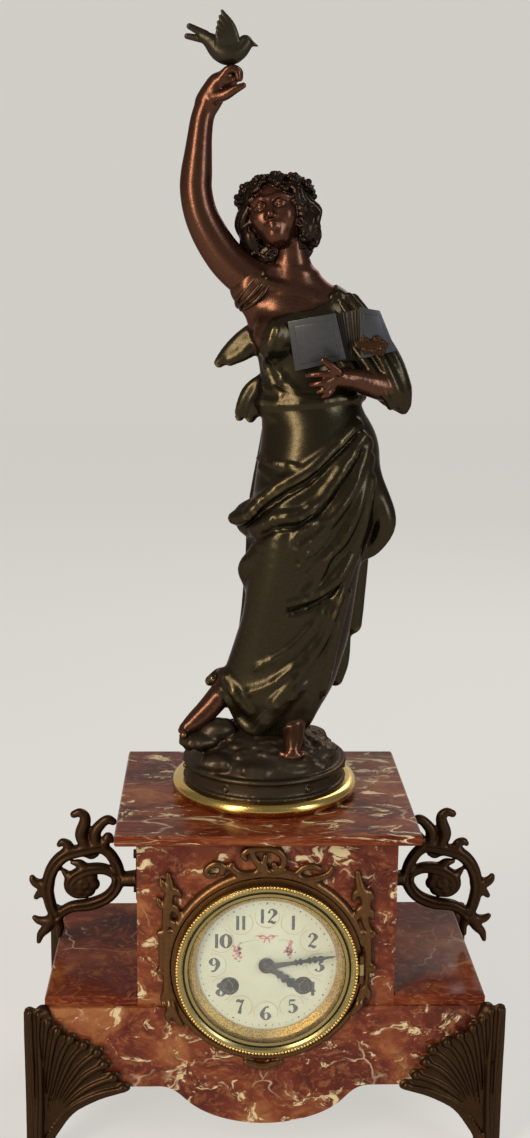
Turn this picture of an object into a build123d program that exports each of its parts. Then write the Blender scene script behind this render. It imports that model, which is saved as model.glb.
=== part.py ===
from build123d import *
import math
import os

os.makedirs("parts", exist_ok=True)

# Marble case, in millimetres: X to the right, Y to the back, Z up from the floor
BASE_WIDTH = 276.0
BASE_DEPTH = 139.0
BASE_BOTTOM = 46.5
BASE_TOP = 100.5
APRON_WIDTH = 133.0
APRON_DROP = 26.3
PANEL = 12.0
STEP_THICK = 6.5
STEP_SETBACK_SIDE = 0.5
STEP_SETBACK_FRONT = 2.2
PEDESTAL_WIDTH = 160.0
PEDESTAL_DEPTH = 134.0
PEDESTAL_TOP = 210.5
SLAB_THICK = 6.5
SLAB_OVERHANG_SIDE = 13.0
SLAB_OVERHANG_FRONT = 11.0
EDGE_BEVEL = 1.0
APRON_CURVE_SHARES = ((0.72, 0.42), (0.36, 0.88))

# Clearances and the overrun of every cut
LOOSE = 0.3
SNUG = 0.1
RUNNING = 0.05
OVERRUN = 5.0

# Dial, drum and doors
DIAL_HEIGHT = 128.0
DRUM_RADIUS = 49.2
DRUM_WALL = 2.0
DRUM_LENGTH = 16.0
FLANGE_RADIUS = 59.0
FLANGE_PROUD = 1.5
SHOULDER_RADIUS = 41.5
DIAL_THICK = 1.2
DIAL_RECESS = 3.5
DIAL_CENTRE_HOLE = 3.0
WINDING_HOLE = 5.0
REGULATOR_HOLE = 2.2
REGULATOR_HEIGHT = 45.5
REGULATOR_RADIUS = 1.2
BEZEL_RADIUS = 56.0
BEZEL_GAP = 0.2
BEZEL_DEPTH = 5.8
BEZEL_ROUND = 1.5
BEZEL_RIM = 4.5
GLASS_RADIUS = 50.4
GLASS_THICK = 1.4
GLASS_LIP = 2.0
LIP_THICK = 0.8
SIGHT_RADIUS = 43.5
SIGHT_SLOPE = 3.1
SIGHT_DIAL_GAP = 0.6
SIGHT_THICK = 0.9
HINGE_OFFSET = 2.4
HINGE_REACH = 2.1
HINGE_BARREL = 2.0
HINGE_PIN = 1.0
HINGE_KNUCKLE = 7.4
HINGE_GAP = 0.4
HINGE_SIDE_KNUCKLE = 5.0
HINGE_LEAF = 2.0
DOOR_RADIUS = 54.0
DOOR_THICK = 1.8
KNOB_RADIUS = 3.0
KNOB_LENGTH = 6.0
KNOB_PLACE = 44.0
SOUND_HOLE = 3.0
SOUND_HOLES = 8
SOUND_CIRCLE = 24.0
STRAP_THICK = 1.2
STRAP_WIDTH = 8.0

# Bronze ornament round the dial: right half of its outline, across and up
SURROUND_THICK = 5.5
SURROUND_BORE = 59.5
SURROUND_OUTLINE = (
    (0.0, 207.0), (13.0, 203.0), (25.0, 195.0), (41.0, 191.0), (55.0, 190.0), (66.0, 185.0), (65.0, 170.0),
    (69.0, 152.0), (67.5, 128.0), (64.0, 105.0), (56.0, 90.0), (43.0, 77.0), (25.0, 66.5), (0.0, 63.0))

# Clock hands, set at thirteen and a half minutes past four
HAND_THICK = 0.8
MINUTE_LENGTH = 43.2
HOUR_LENGTH = 27.0
HAND_HUB = 3.2
HAND_STEM = 1.1
HAND_RING_SHARE = 0.58
HAND_RING = 3.6
HAND_RING_WALL = 1.1
HAND_LEAF = 2.4
HOUR_HAND_LIFT = 0.7
MINUTE_HAND_LIFT = 2.5
HAND_NUT = 2.6
HAND_NUT_THICK = 1.2
TIME_MINUTES = 13.45
TIME_HOURS = 4.0
MINUTES = 60
HOURS = 12

# Feet: one row per level, with height, distance outside the base corner and radius
FOOT_ROWS = (
    (0.0, 4.0, 8.0), (5.0, 3.0, 8.2), (14.0, 0.5, 7.0), (28.0, -3.0, 8.0), (40.0, -3.5, 11.5),
    (53.0, -1.0, 13.0), (75.0, -0.5, 10.5), (90.0, -0.5, 9.6), (99.5, -0.5, 8.6))
FOOT_LEAF_THICK = 4.0
FOOT_FRONT_LEAF = ((0.0, 99.0), (6.0, 94.0), (17.0, 87.0), (32.0, 79.0), (40.0, 64.0), (46.0, 49.0),
                   (34.0, 44.0), (20.0, 38.0), (10.0, 28.0), (0.0, 28.0))
FOOT_SIDE_LEAF = ((0.0, 99.0), (6.0, 92.0), (14.0, 82.0), (22.0, 70.0), (28.0, 50.0),
                  (20.0, 42.0), (10.0, 30.0), (0.0, 28.0))
FOOT_SEAT = 20.0
FOOT_SEAT_THICK = 5.0
FOOT_SCREW_INSET_SIDE = 10.0
FOOT_SCREW_INSET_FRONT = 6.0
FOOT_SCREW_RADIUS = 2.0
FOOT_SCREW_HEAD = 3.6
FOOT_SCREW_HEAD_THICK = 2.4
FOOT_SCREW_BITE = 9.0

# Handles: strokes of the right one as three points of an arc, out from the pedestal and up, then the width
HANDLE_THICK = 8.0
HANDLE_STROKES = (
    ((66.0, 119.0), (65.0, 152.0), (47.0, 177.0), 6.5),
    ((47.0, 177.0), (28.0, 181.0), (17.0, 168.0), 6.0),
    ((66.0, 119.0), (50.0, 129.0), (30.0, 137.0), 6.5),
    ((30.0, 137.0), (15.0, 148.0), (17.0, 168.0), 6.0),
    ((30.0, 137.0), (42.0, 143.0), (43.0, 158.0), 4.5),
    ((43.0, 158.0), (37.0, 165.0), (31.0, 158.0), 4.0),
    ((32.0, 180.0), (27.0, 191.0), (23.0, 200.0), 4.5),
    ((32.0, 180.0), (41.0, 190.0), (41.0, 203.5), 4.5),
    ((61.0, 163.0), (69.0, 162.0), (73.5, 157.0), 5.0),
    ((64.0, 140.0), (70.0, 135.0), (72.5, 127.0), 5.0),
    ((66.0, 119.0), (69.5, 116.0), (70.0, 111.0), 4.0),
    ((3.0, 161.0), (9.0, 162.0), (17.0, 161.0), 9.0))
HANDLE_PAD_THICK = 4.0
HANDLE_PAD_WIDTH = 16.0
HANDLE_PAD_BOTTOM = 143.0
HANDLE_PAD_TOP = 179.0
HANDLE_SCREW_INSET = 6.0
HANDLE_SCREW_RADIUS = 1.5
HANDLE_SCREW_HEAD = 3.0
HANDLE_SCREW_HEAD_THICK = 1.8
HANDLE_SCREW_BITE = 9.0

# Plinth ring, ground of the figure and its fixing
FIGURE_SETBACK = 8.0
RING_RADIUS = 60.5
RING_HEIGHT = 9.5
RING_FLANGE = 2.5
RING_BORE = 44.0
GROUND_RADIUS = 51.5
GROUND_BAND = 17.0
GROUND_RISE = 27.0
GROUND_CORE_SHARES = ((1.0, 0.0), (0.93, 0.30), (0.70, 0.66), (0.40, 0.92), (0.0, 1.0))
STUD_RADIUS = 3.0
STUD_GRIP = 18.0
STUD_TAIL = 14.0
NUT_RADIUS = 6.0
NUT_THICK = 6.0

# Figure: every place and size is a share of its height above the slab, from the middle of the ring
FIGURE_HEIGHT = 482.0
BODY_SHARES = (
    (0.077, 0.008, 0.002, 0.0498, 0.0498), (0.114, 0.012, 0.000, 0.0602, 0.0581),
    (0.143, 0.015, 0.002, 0.0757, 0.0674), (0.172, 0.025, 0.004, 0.0757, 0.0695),
    (0.218, 0.037, 0.006, 0.0757, 0.0695), (0.259, 0.046, 0.006, 0.0716, 0.0695),
    (0.299, 0.046, 0.006, 0.0737, 0.0716), (0.334, 0.054, 0.006, 0.0716, 0.0737),
    (0.371, 0.060, 0.006, 0.0799, 0.0757), (0.421, 0.066, 0.006, 0.0820, 0.0757),
    (0.475, 0.064, 0.006, 0.0737, 0.0695), (0.517, 0.056, 0.006, 0.0654, 0.0571),
    (0.554, 0.048, 0.006, 0.0571, 0.0436), (0.583, 0.038, 0.006, 0.0529, 0.0425),
    (0.612, 0.031, 0.004, 0.0591, 0.0498), (0.637, 0.029, 0.005, 0.0622, 0.0446),
    (0.658, 0.025, 0.006, 0.0571, 0.0363), (0.674, 0.026, 0.008, 0.0415, 0.0280),
    (0.691, 0.030, 0.010, 0.0249, 0.0239), (0.707, 0.027, 0.008, 0.0220, 0.0220),
    (0.726, 0.023, 0.005, 0.0216, 0.0216))
BUST_SHARES = (
    ((0.004, -0.029, 0.610), (0.026, 0.023, 0.025)), ((0.060, -0.029, 0.610), (0.026, 0.023, 0.025)))
SHOULDER_SHARES = (
    ((-0.023, 0.006, 0.670), (0.029, 0.029, 0.029)), ((0.081, 0.006, 0.641), (0.025, 0.025, 0.025)))
LEG_SHARES = (
    (0.054, -0.004, 0.463, 0.0539), (0.029, -0.029, 0.380, 0.0498), (0.019, -0.037, 0.322, 0.0415),
    (0.000, -0.029, 0.230, 0.0342), (-0.025, -0.019, 0.168, 0.0259), (-0.046, -0.015, 0.139, 0.0197))
FOLD_SHARES = (
    ((0.104, -0.028, 0.503, 0.0083), (0.064, -0.062, 0.457, 0.0097),
     (0.028, -0.065, 0.440, 0.0097), (-0.002, -0.041, 0.441, 0.0083)),
    ((0.122, -0.010, 0.481, 0.0104), (0.086, -0.059, 0.449, 0.0120),
     (0.055, -0.064, 0.416, 0.0137), (0.024, -0.075, 0.406, 0.0137),
     (-0.008, -0.072, 0.394, 0.0120), (-0.024, -0.042, 0.380, 0.0104)),
    ((0.122, -0.022, 0.462, 0.0104), (0.100, -0.058, 0.421, 0.0116),
     (0.076, -0.063, 0.393, 0.0129), (0.044, -0.073, 0.384, 0.0120),
     (0.014, -0.081, 0.371, 0.0091), (-0.005, -0.073, 0.358, 0.0062)),
    ((0.123, -0.025, 0.445, 0.0104), (0.114, -0.048, 0.402, 0.0116),
     (0.088, -0.056, 0.348, 0.0129), (0.066, -0.059, 0.309, 0.0122),
     (0.041, -0.061, 0.287, 0.0098), (0.008, -0.065, 0.278, 0.0073)),
    ((0.111, -0.036, 0.364, 0.0093), (0.103, -0.040, 0.330, 0.0106),
     (0.080, -0.051, 0.290, 0.0118), (0.047, -0.059, 0.274, 0.0114),
     (0.011, -0.059, 0.260, 0.0093), (-0.016, -0.064, 0.262, 0.0073)),
    ((0.101, -0.027, 0.296, 0.0083), (0.085, -0.046, 0.248, 0.0093),
     (0.047, -0.059, 0.185, 0.0104), (0.021, -0.061, 0.151, 0.0083),
     (-0.001, -0.055, 0.135, 0.0062)),
    ((0.041, -0.057, 0.268, 0.0062), (0.022, -0.059, 0.222, 0.0069),
     (-0.003, -0.056, 0.184, 0.0066), (-0.024, -0.048, 0.152, 0.0052)),
    ((-0.003, -0.045, 0.106, 0.0083), (0.012, -0.056, 0.119, 0.0078),
     (0.029, -0.062, 0.151, 0.0073), (0.050, -0.059, 0.180, 0.0073),
     (0.065, -0.049, 0.205, 0.0073)),
    ((-0.001, -0.004, 0.523, 0.0062), (0.021, -0.037, 0.525, 0.0067),
     (0.056, -0.044, 0.528, 0.0073), (0.088, -0.033, 0.531, 0.0067), (0.108, 0.001, 0.532, 0.0062)))
# Head and hair, from the head's own middle with the face forward, then tilted
HEAD_PLACE_SHARES = (0.006, -0.002, 0.758)
HEAD_LEAN = -12.0
HEAD_TURN = -12.0
HEAD_BACK = -18.0
SKULL_SHARES = (
    ((0.0, 0.002, 0.010), (0.031, 0.037, 0.036)), ((0.0, -0.010, -0.012), (0.0255, 0.026, 0.028)))
HAIR_SHARES = (
    ((0.0, 0.012, 0.012), (0.043, 0.042, 0.039)), ((-0.036, 0.009, -0.014), (0.0165, 0.023, 0.029)),
    ((0.036, 0.009, -0.014), (0.0165, 0.023, 0.029)), ((0.0, 0.039, -0.012), (0.031, 0.023, 0.033)))
FACE_OPENING_SHARES = ((0.0, -0.048, -0.008), (0.028, 0.031, 0.035))
WREATH_LUMPS = 12
WREATH_START = 15.0
WREATH_SHARES = (0.0415, 0.036)
WREATH_BACK_SHARE = 0.012
WREATH_LIFT_SHARES = (0.028, 0.010)
WREATH_LUMP_SHARE = 0.0095
RAISED_ARM_SHARES = (
    (-0.002, 0.010, 0.646, 0.032), (-0.030, 0.010, 0.675, 0.029), (-0.059, 0.010, 0.708, 0.025),
    (-0.077, 0.008, 0.735, 0.023), (-0.090, 0.006, 0.762, 0.0215), (-0.0945, 0.004, 0.789, 0.0205),
    (-0.0935, 0.003, 0.825, 0.017), (-0.090, 0.002, 0.861, 0.0135), (-0.085, 0.002, 0.888, 0.011),
    (-0.074, 0.002, 0.909, 0.0125))
RAISED_HAND_SHARES = (
    ((-0.074, 0.002, 0.909, 0.0115), (-0.050, 0.000, 0.931, 0.006)),
    ((-0.074, 0.004, 0.909, 0.0115), (-0.062, 0.004, 0.936, 0.005)),
    ((-0.072, -0.002, 0.907, 0.0105), (-0.036, -0.008, 0.911, 0.005)))
SLEEVE_SHARES = (
    (0.655, 0.078, 0.010, 0.027, 0.027), (0.620, 0.104, 0.004, 0.036, 0.036),
    (0.580, 0.126, -0.010, 0.038, 0.038), (0.545, 0.142, -0.020, 0.030, 0.030),
    (0.512, 0.150, -0.022, 0.012, 0.012))
FOREARM_SHARES = ((0.138, -0.020, 0.556, 0.021), (0.050, -0.070, 0.567, 0.012))
BOOK_FIST_SHARE = 0.019
BOOK_LEFT_SHARES = (
    (0.019, -0.052, 0.628), (0.081, -0.064, 0.641),
    (0.098, -0.052, 0.579), (0.028, -0.040, 0.559))
BOOK_RIGHT_SHARES = (
    (0.081, -0.064, 0.641), (0.135, -0.052, 0.644),
    (0.159, -0.038, 0.593), (0.098, -0.052, 0.579))
BOOK_THICK_SHARE = 0.009
DRAPE_SHARES = (
    ((0.037, -0.054, 0.421, 0.0166), (-0.004, -0.046, 0.394, 0.0187),
     (-0.030, -0.029, 0.380, 0.0156), (-0.023, -0.008, 0.359, 0.0114),
     (0.000, 0.004, 0.346, 0.0114)),
    ((0.012, -0.041, 0.338, 0.0145), (-0.015, -0.037, 0.324, 0.0141),
     (-0.026, -0.025, 0.305, 0.0129), (-0.017, -0.010, 0.280, 0.0112)),
    ((0.116, -0.012, 0.454, 0.0166), (0.141, -0.008, 0.400, 0.0176),
     (0.151, -0.008, 0.367, 0.0156), (0.137, -0.004, 0.334, 0.0124), (0.116, 0.000, 0.326, 0.0124)),
    ((0.112, 0.037, 0.442, 0.0166), (0.116, 0.041, 0.338, 0.0166), (0.110, 0.041, 0.255, 0.0156),
     (0.110, 0.039, 0.228, 0.0135)),
    ((0.095, 0.046, 0.338, 0.0166), (0.095, 0.046, 0.234, 0.0145), (0.091, 0.041, 0.185, 0.0135)),
    ((-0.004, 0.021, 0.620, 0.0145), (-0.029, 0.023, 0.604, 0.0145),
     (-0.050, 0.025, 0.587, 0.0114), (-0.064, 0.027, 0.573, 0.0073)),
    ((0.004, 0.021, 0.554, 0.0145), (-0.021, 0.021, 0.537, 0.0135), (-0.033, 0.023, 0.517, 0.0093),
     (-0.037, 0.025, 0.502, 0.0062)))
FOOT_TOE_SHARES = (
    ((-0.037, -0.008, 0.160, 0.0270), (-0.062, -0.017, 0.129, 0.0178), (-0.095, -0.031, 0.089, 0.0124)),
    ((0.041, -0.025, 0.131, 0.0290), (0.037, -0.041, 0.093, 0.0197), (0.035, -0.062, 0.071, 0.0120)))
BIRD_SHARES = (
    (-0.110, 0.004, 0.976, 0.004), (-0.090, 0.002, 0.966, 0.010), (-0.066, 0.000, 0.953, 0.017),
    (-0.048, -0.002, 0.954, 0.016), (-0.036, -0.002, 0.963, 0.0115), (-0.026, -0.002, 0.963, 0.006),
    (-0.018, -0.002, 0.962, 0.0015))
WING_SHARES = ((-0.056, 0.006, 0.962, 0.014), (-0.062, 0.010, 0.982, 0.010), (-0.064, 0.012, 0.998, 0.003))

# Movement plates, in the depth of the drum
PLATE_RADIUS = 44.0
PLATE_THICK = 2.0
PLATE_GAP = 34.0
PLATE_RECESS = 11.0
PILLAR_RADIUS = 2.5
PILLAR_TENON = 1.4
PILLARS = ((36.0, 14.0), (0.0, -38.5), (22.0, 31.0), (-19.0, 36.0))
END_SHAKE = 0.3
ARBOR = 0.9
ARBOR_PIVOT = 0.6
FAST_ARBOR = 0.45
FAST_PIVOT = 0.3
CENTRE_ARBOR = 1.0
BARREL_ARBOR = 3.0
BARREL_PIVOT = 2.0
WINDING_SQUARE = 4.0
WINDING_END = 0.8
BARREL_PLACE = (23.0, -14.0)

# Teeth: height above the pitch circle in modules, then width in pitches
WHEEL_TOOTH_SHARES = ((-1.25, 0.44), (0.0, 0.42), (0.5225, 0.30), (0.95, 0.12))
PINION_TOOTH_SHARES = ((-1.45, 0.26), (0.0, 0.34), (0.3025, 0.26), (0.55, 0.12))
ESCAPE_TOOTH_SHARES = ((0.0, 1.0), (0.12, 0.98), (0.45, 0.80), (0.80, 0.82))
SPOKE_HOLE_SHARE = 0.22
SPOKE_CIRCLE_SHARE = 0.58
SPOKE_HOLES = 5
BARREL_MODULE = 0.5
BARREL_TEETH = 84
BARREL_PINION = 12
SECOND_MODULE = 0.4
SECOND_TEETH = 66
CENTRE_PINION = 12
FAST_MODULE = 0.32
CENTRE_TEETH = 84
THIRD_PINION = 7
THIRD_TEETH = 78
ESCAPE_PINION = 6
ESCAPE_TEETH = 34
ESCAPE_RADIUS = 7.0
STRIKE_TEETH = 72
PIN_WHEEL_PINION = 8
STRIKE_MODULE = 0.3
PIN_WHEEL_TEETH = 64
WARNING_PINION = 7
WARNING_TEETH = 50
FLY_PINION = 6
CANNON_MODULE = 0.5
CANNON_TEETH = 14
MINUTE_WHEEL_TEETH = 42
HOUR_MODULE = 0.56
MINUTE_WHEEL_PINION = 10
HOUR_WHEEL_TEETH = 40

# Layers of the wheels, as depths behind the front plate
BARREL_WHEEL_LAYER = (7.5, 9.5)
BARREL_DRUM_LAYER = (9.5, 24.0)
BARREL_PINION_LAYER = (6.5, 10.5)
BARREL_RADIUS = 18.5
BARREL_WALL = 1.5
SECOND_LAYER = (25.5, 27.0)
CENTRE_PINION_LAYER = (24.5, 28.0)
CENTRE_LAYER = (3.0, 4.5)
THIRD_PINION_LAYER = (2.0, 6.0)
THIRD_LAYER = (12.0, 13.5)
ESCAPE_PINION_LAYER = (11.0, 14.5)
ESCAPE_LAYER = (3.0, 4.2)
STRIKE_SECOND_LAYER = (29.0, 30.5)
PIN_PINION_LAYER = (28.0, 31.5)
PIN_WHEEL_LAYER = (17.0, 18.5)
WARNING_PINION_LAYER = (16.0, 19.5)
WARNING_LAYER = (13.0, 14.5)
FLY_PINION_LAYER = (12.0, 15.5)
FLY_VANE_LAYER = (20.0, 28.0)
FLY_HALF_SPAN = 4.5
FLY_VANE_THICK = 0.6
FLY_HUB = 0.8
LIFT_PINS = 8
LIFT_PIN_RADIUS = 0.5
LIFT_PIN_CIRCLE = 7.6
LIFT_PIN_LENGTH = 2.0

# Motion work, as distances in front of the front plate
CANNON_LAYER = (0.4, 2.0)
MINUTE_WHEEL_LAYER = (0.6, 1.8)
MINUTE_PINION_LAYER = (1.8, 4.2)
HOUR_WHEEL_LAYER = (2.6, 3.8)
CANNON_PIPE = 1.7
HOUR_PIPE_WALL = 0.75
MINUTE_STUD = 0.9
MINUTE_STUD_END = 4.6

# Train directions seen from the front, in degrees
THIRD_ANGLE = 95.0
STRIKE_SECOND_ANGLE = 75.0
PIN_WHEEL_ANGLE = 70.0
WARNING_ANGLE = 180.0
FLY_ANGLE = -160.0
PALLET_HEIGHT = 37.5
HAMMER_PLACE = (-34.0, 10.0)

# Pallets, crutch, pendulum and its cock
PALLET_LAYER = (3.0, 4.2)
PALLET_HUB = 1.6
PALLET_CLEAR = 1.0
PALLET_ANGLE = 45.0
PALLET_ARM = 1.6
PALLET_BEND_SHARES = (0.62, 0.30)
CRUTCH_GAP = 0.8
CRUTCH_THICK = 1.0
CRUTCH_WIDTH = 2.4
CRUTCH_LENGTH = 24.0
CRUTCH_FOOT = 6.0
CRUTCH_FOOT_HEIGHT = 3.0
ROD_RADIUS = 1.0
ROD_BEHIND = 8.0
ROD_EYE = 1.7
ROD_EYE_THICK = 1.6
PENDULUM_LENGTH = 100.0
BOB_RADIUS = 15.0
BOB_THICK = 6.0
BOB_RIM_SHARE = 0.25
RATING_NUT_RADIUS = 3.0
RATING_NUT_THICK = 2.5
ROD_TAIL = 6.0
COCK_WIDTH = 16.0
COCK_BOTTOM = 39.5
COCK_TOP = 43.0
COCK_DEPTH = 13.0
CHEEK_GAP = 2.4
CHEEK_THICK = 1.4
CHEEK_WIDTH = 6.0
CHEEK_DROP = 4.5
COCK_PIN = 0.8
LUG_WIDTH = 5.0
LUG_HEIGHT = 5.0
LUG_THICK = 3.0

# Bell and hammer
BELL_PLACE = (-9.0, 18.0)
BELL_RADIUS = 26.0
BELL_WALL = 1.8
BELL_STAND = 24.0
BELL_PROFILE_SHARES = ((1.0, 0.0), (0.97, 0.16), (0.86, 0.34), (0.62, 0.47), (0.30, 0.53), (0.0, 0.54))
BELL_POST = 2.0
BELL_NUT = 4.0
BELL_NUT_THICK = 3.0
HAMMER_REACH = 29.6
HAMMER_ANGLE = 160.0
HAMMER_HEAD = 2.4
HAMMER_ARM_WIDTH = 2.4
HAMMER_ARM_THICK = 1.4
HAMMER_ARM_GAP = 1.6
HAMMER_STEM = 0.9
HAMMER_HUB = 2.0

# Values worked out from the sizes above
CASE_TOP = PEDESTAL_TOP + SLAB_THICK
STEP_TOP = BASE_TOP + STEP_THICK
BASE_FRONT = -BASE_DEPTH / 2
PEDESTAL_FRONT = -PEDESTAL_DEPTH / 2
FLANGE_FRONT = BASE_FRONT - FLANGE_PROUD
DIAL_FRONT = FLANGE_FRONT + DIAL_RECESS
DIAL_REAR = DIAL_FRONT + DIAL_THICK
DRUM_BORE = DRUM_RADIUS - DRUM_WALL
DRUM_END = FLANGE_FRONT + DRUM_LENGTH
PLATE_FRONT = FLANGE_FRONT + PLATE_RECESS
PLATE_REAR = PLATE_FRONT + PLATE_THICK
BACK_PLATE_FRONT = PLATE_REAR + PLATE_GAP
BACK_PLATE_REAR = BACK_PLATE_FRONT + PLATE_THICK
BELL_FRONT = BACK_PLATE_REAR + BELL_STAND
ROD_Y = BACK_PLATE_REAR + ROD_BEHIND
FULL_TURN = 360.0
HALF_TURN = FULL_TURN / 2
QUARTER_TURN = FULL_TURN / 4
UPWARD = (Align.CENTER, Align.CENTER, Align.MIN)
DOWNWARD = (Align.CENTER, Align.CENTER, Align.MAX)


def block(x0, x1, y0, y1, z0, z1):
    """A box between two corners."""
    return Pos((x0 + x1) / 2, (y0 + y1) / 2, (z0 + z1) / 2) * Box(x1 - x0, y1 - y0, z1 - z0)


def bar(radius, x, z, y0, y1):
    """A round bar along the depth of the clock, placed from the dial's centre."""
    return Pos(x, (y0 + y1) / 2, DIAL_HEIGHT + z) * Rot(90, 0, 0) * Cylinder(radius, y1 - y0)


def front_plane(y, x=0.0, z=0.0):
    """A plane that faces the viewer, with X to the right and Z up."""
    return Plane(origin=(x, y, z), x_dir=(1, 0, 0), z_dir=(0, -1, 0))


def cut_out(sketch, y0, y1, x=0.0, z=0.0):
    """A flat front-view shape given a thickness from y0 to y1."""
    return extrude(front_plane(y1, x, z) * sketch, y1 - y0)


def spun(points, x=0.0, z=0.0):
    """A solid turned about the depth axis through a place given from the dial's centre."""
    return Pos(x, 0, DIAL_HEIGHT + z) * revolve(make_face(Polyline(*points, close=True)), Axis.Y, FULL_TURN)


def ring_bar(outer, inner, y0, y1):
    """A round tube on the dial's axis."""
    return spun([(inner, y0), (outer, y0), (outer, y1), (inner, y1)])


def polar(radius, angle, origin=(0.0, 0.0)):
    """A place at a distance and direction, in degrees, from another one."""
    turn = math.radians(angle)
    return (origin[0] + radius * math.cos(turn), origin[1] + radius * math.sin(turn))


def both_sides(solid):
    """A piece and its mirror image on the other side of the clock."""
    return [solid, mirror(solid, Plane.YZ)]


def save(name, *solids):
    """Write one sub-part; several solids stay separate in it."""
    whole = solids[0] if len(solids) == 1 else Compound(children=list(solids))
    export_step(whole, os.path.join("parts", name + ".step"))


# Marble panels
drum_cut = bar(DRUM_RADIUS + LOOSE, 0, 0, -BASE_DEPTH, BASE_DEPTH)
half_base = BASE_WIDTH / 2
half_apron = APRON_WIDTH / 2
half_pedestal = PEDESTAL_WIDTH / 2
inner_depth = BASE_DEPTH / 2 - PANEL
pedestal_inner = PEDESTAL_DEPTH / 2 - PANEL
apron_side = [(half_apron * across, BASE_BOTTOM - APRON_DROP * down) for across, down in APRON_CURVE_SHARES]
apron_points = [(half_apron, BASE_BOTTOM)] + apron_side + [(0.0, BASE_BOTTOM - APRON_DROP)]
apron_points += [(-x, z) for x, z in reversed(apron_points[:-1])]
apron_curve = Spline(*apron_points, tangents=[(-1, 0), (-1, 0)])
apron = make_face([apron_curve, Line(apron_points[-1], apron_points[0])])
front_block = block(-half_base, half_base, BASE_FRONT, BASE_FRONT + PANEL, BASE_BOTTOM, BASE_TOP)
foot_screw_x = half_base - FOOT_SCREW_INSET_SIDE
foot_screw_y = BASE_DEPTH / 2 - FOOT_SCREW_INSET_FRONT
screw_hole = Cylinder(FOOT_SCREW_RADIUS + SNUG, 2 * FOOT_SCREW_BITE + 2 * SNUG)
screw_places = [(sx * foot_screw_x, sy * foot_screw_y) for sx in (1, -1) for sy in (1, -1)]
base_front = front_block + cut_out(apron, BASE_FRONT, BASE_FRONT + PANEL) - drum_cut
base_back = mirror(front_block, Plane.XZ) - drum_cut
for x, y in screw_places:
    base_front -= Pos(x, y, BASE_BOTTOM) * screw_hole
    base_back -= Pos(x, y, BASE_BOTTOM) * screw_hole
base_side = block(half_base - PANEL, half_base, -inner_depth, inner_depth, BASE_BOTTOM, BASE_TOP)
save("base_front_panel", base_front)
save("base_back_panel", base_back)
save("base_side_panels", *both_sides(base_side))

step_x = half_base - STEP_SETBACK_SIDE
step_y = BASE_DEPTH / 2 - STEP_SETBACK_FRONT
step_plate = block(half_pedestal, step_x, -step_y, step_y, BASE_TOP, STEP_TOP)
step_plate = chamfer(step_plate.edges().group_by(Axis.Z)[-1], EDGE_BEVEL)
step_tongue = block(half_pedestal - PANEL, half_pedestal, -pedestal_inner, pedestal_inner, BASE_TOP, STEP_TOP)
save("step_plates", *both_sides(step_plate + step_tongue))

pedestal_front_rear = PEDESTAL_FRONT + PANEL
pedestal_front_block = block(
    -half_pedestal, half_pedestal, PEDESTAL_FRONT, pedestal_front_rear, BASE_TOP, PEDESTAL_TOP)
pedestal_side = block(
    half_pedestal - PANEL, half_pedestal, -pedestal_inner, pedestal_inner, STEP_TOP, PEDESTAL_TOP)
handle_screw_levels = (HANDLE_PAD_BOTTOM + HANDLE_SCREW_INSET, HANDLE_PAD_TOP - HANDLE_SCREW_INSET)
handle_screw_hole = Rot(0, QUARTER_TURN, 0) * Cylinder(HANDLE_SCREW_RADIUS + SNUG, 2 * HANDLE_SCREW_BITE)
for level in handle_screw_levels:
    pedestal_side -= Pos(half_pedestal, 0, level) * handle_screw_hole
save("pedestal_front_panel", pedestal_front_block - drum_cut)
save("pedestal_back_panel", mirror(pedestal_front_block, Plane.XZ) - drum_cut)
save("pedestal_side_panels", *both_sides(pedestal_side))

slab_x = half_pedestal + SLAB_OVERHANG_SIDE
slab_y = PEDESTAL_DEPTH / 2 + SLAB_OVERHANG_FRONT
slab = block(-slab_x, slab_x, -slab_y, slab_y, PEDESTAL_TOP, CASE_TOP)
slab = chamfer(slab.edges(), EDGE_BEVEL)
slab -= Pos(0, FIGURE_SETBACK, CASE_TOP) * Cylinder(STUD_RADIUS + SNUG, 2 * SLAB_THICK + 2 * OVERRUN)
save("top_slab", slab)


# Corner feet
def leaf_outline(points):
    """The flat outline of a leaf on the wall, closed along the corner."""
    return make_face([Spline(*points), Line(points[-1], points[0])])


def corner_foot():
    """The front right foot: a curved leg, two leaves on the marble and a seat under the panels."""
    corner_x = half_base
    corner_y = -BASE_FRONT
    rows = []
    for level, out, radius in FOOT_ROWS:
        rows.append(Plane(origin=(corner_x + out, -corner_y - out, level)) * Circle(radius))
    foot = loft(rows)
    front_leaf = leaf_outline([(corner_x - along, up) for along, up in FOOT_FRONT_LEAF])
    foot += cut_out(front_leaf, BASE_FRONT - FOOT_LEAF_THICK, BASE_FRONT)
    side_leaf = leaf_outline([(-corner_y + along, up) for along, up in FOOT_SIDE_LEAF])
    side_plane = Plane(origin=(corner_x, 0, 0), x_dir=(0, 1, 0), z_dir=(1, 0, 0))
    foot += extrude(side_plane * side_leaf, FOOT_LEAF_THICK)
    seat_bottom = BASE_BOTTOM - FOOT_SEAT_THICK
    foot += block(corner_x - FOOT_SEAT, corner_x, -corner_y, FOOT_SEAT - corner_y, seat_bottom, BASE_BOTTOM)
    foot -= block(-half_base, half_base, BASE_FRONT, -BASE_FRONT, BASE_BOTTOM, BASE_TOP)
    foot -= Pos(foot_screw_x, -foot_screw_y, BASE_BOTTOM) * screw_hole
    head_cut = Cylinder(FOOT_SCREW_HEAD + SNUG, BASE_BOTTOM, align=DOWNWARD)
    return foot - Pos(foot_screw_x, -foot_screw_y, seat_bottom) * head_cut


front_right = corner_foot()
front_left = mirror(front_right, Plane.YZ)
save("foot_front_right", front_right)
save("foot_front_left", front_left)
save("foot_back_right", mirror(front_right, Plane.XZ))
save("foot_back_left", mirror(front_left, Plane.XZ))

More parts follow.
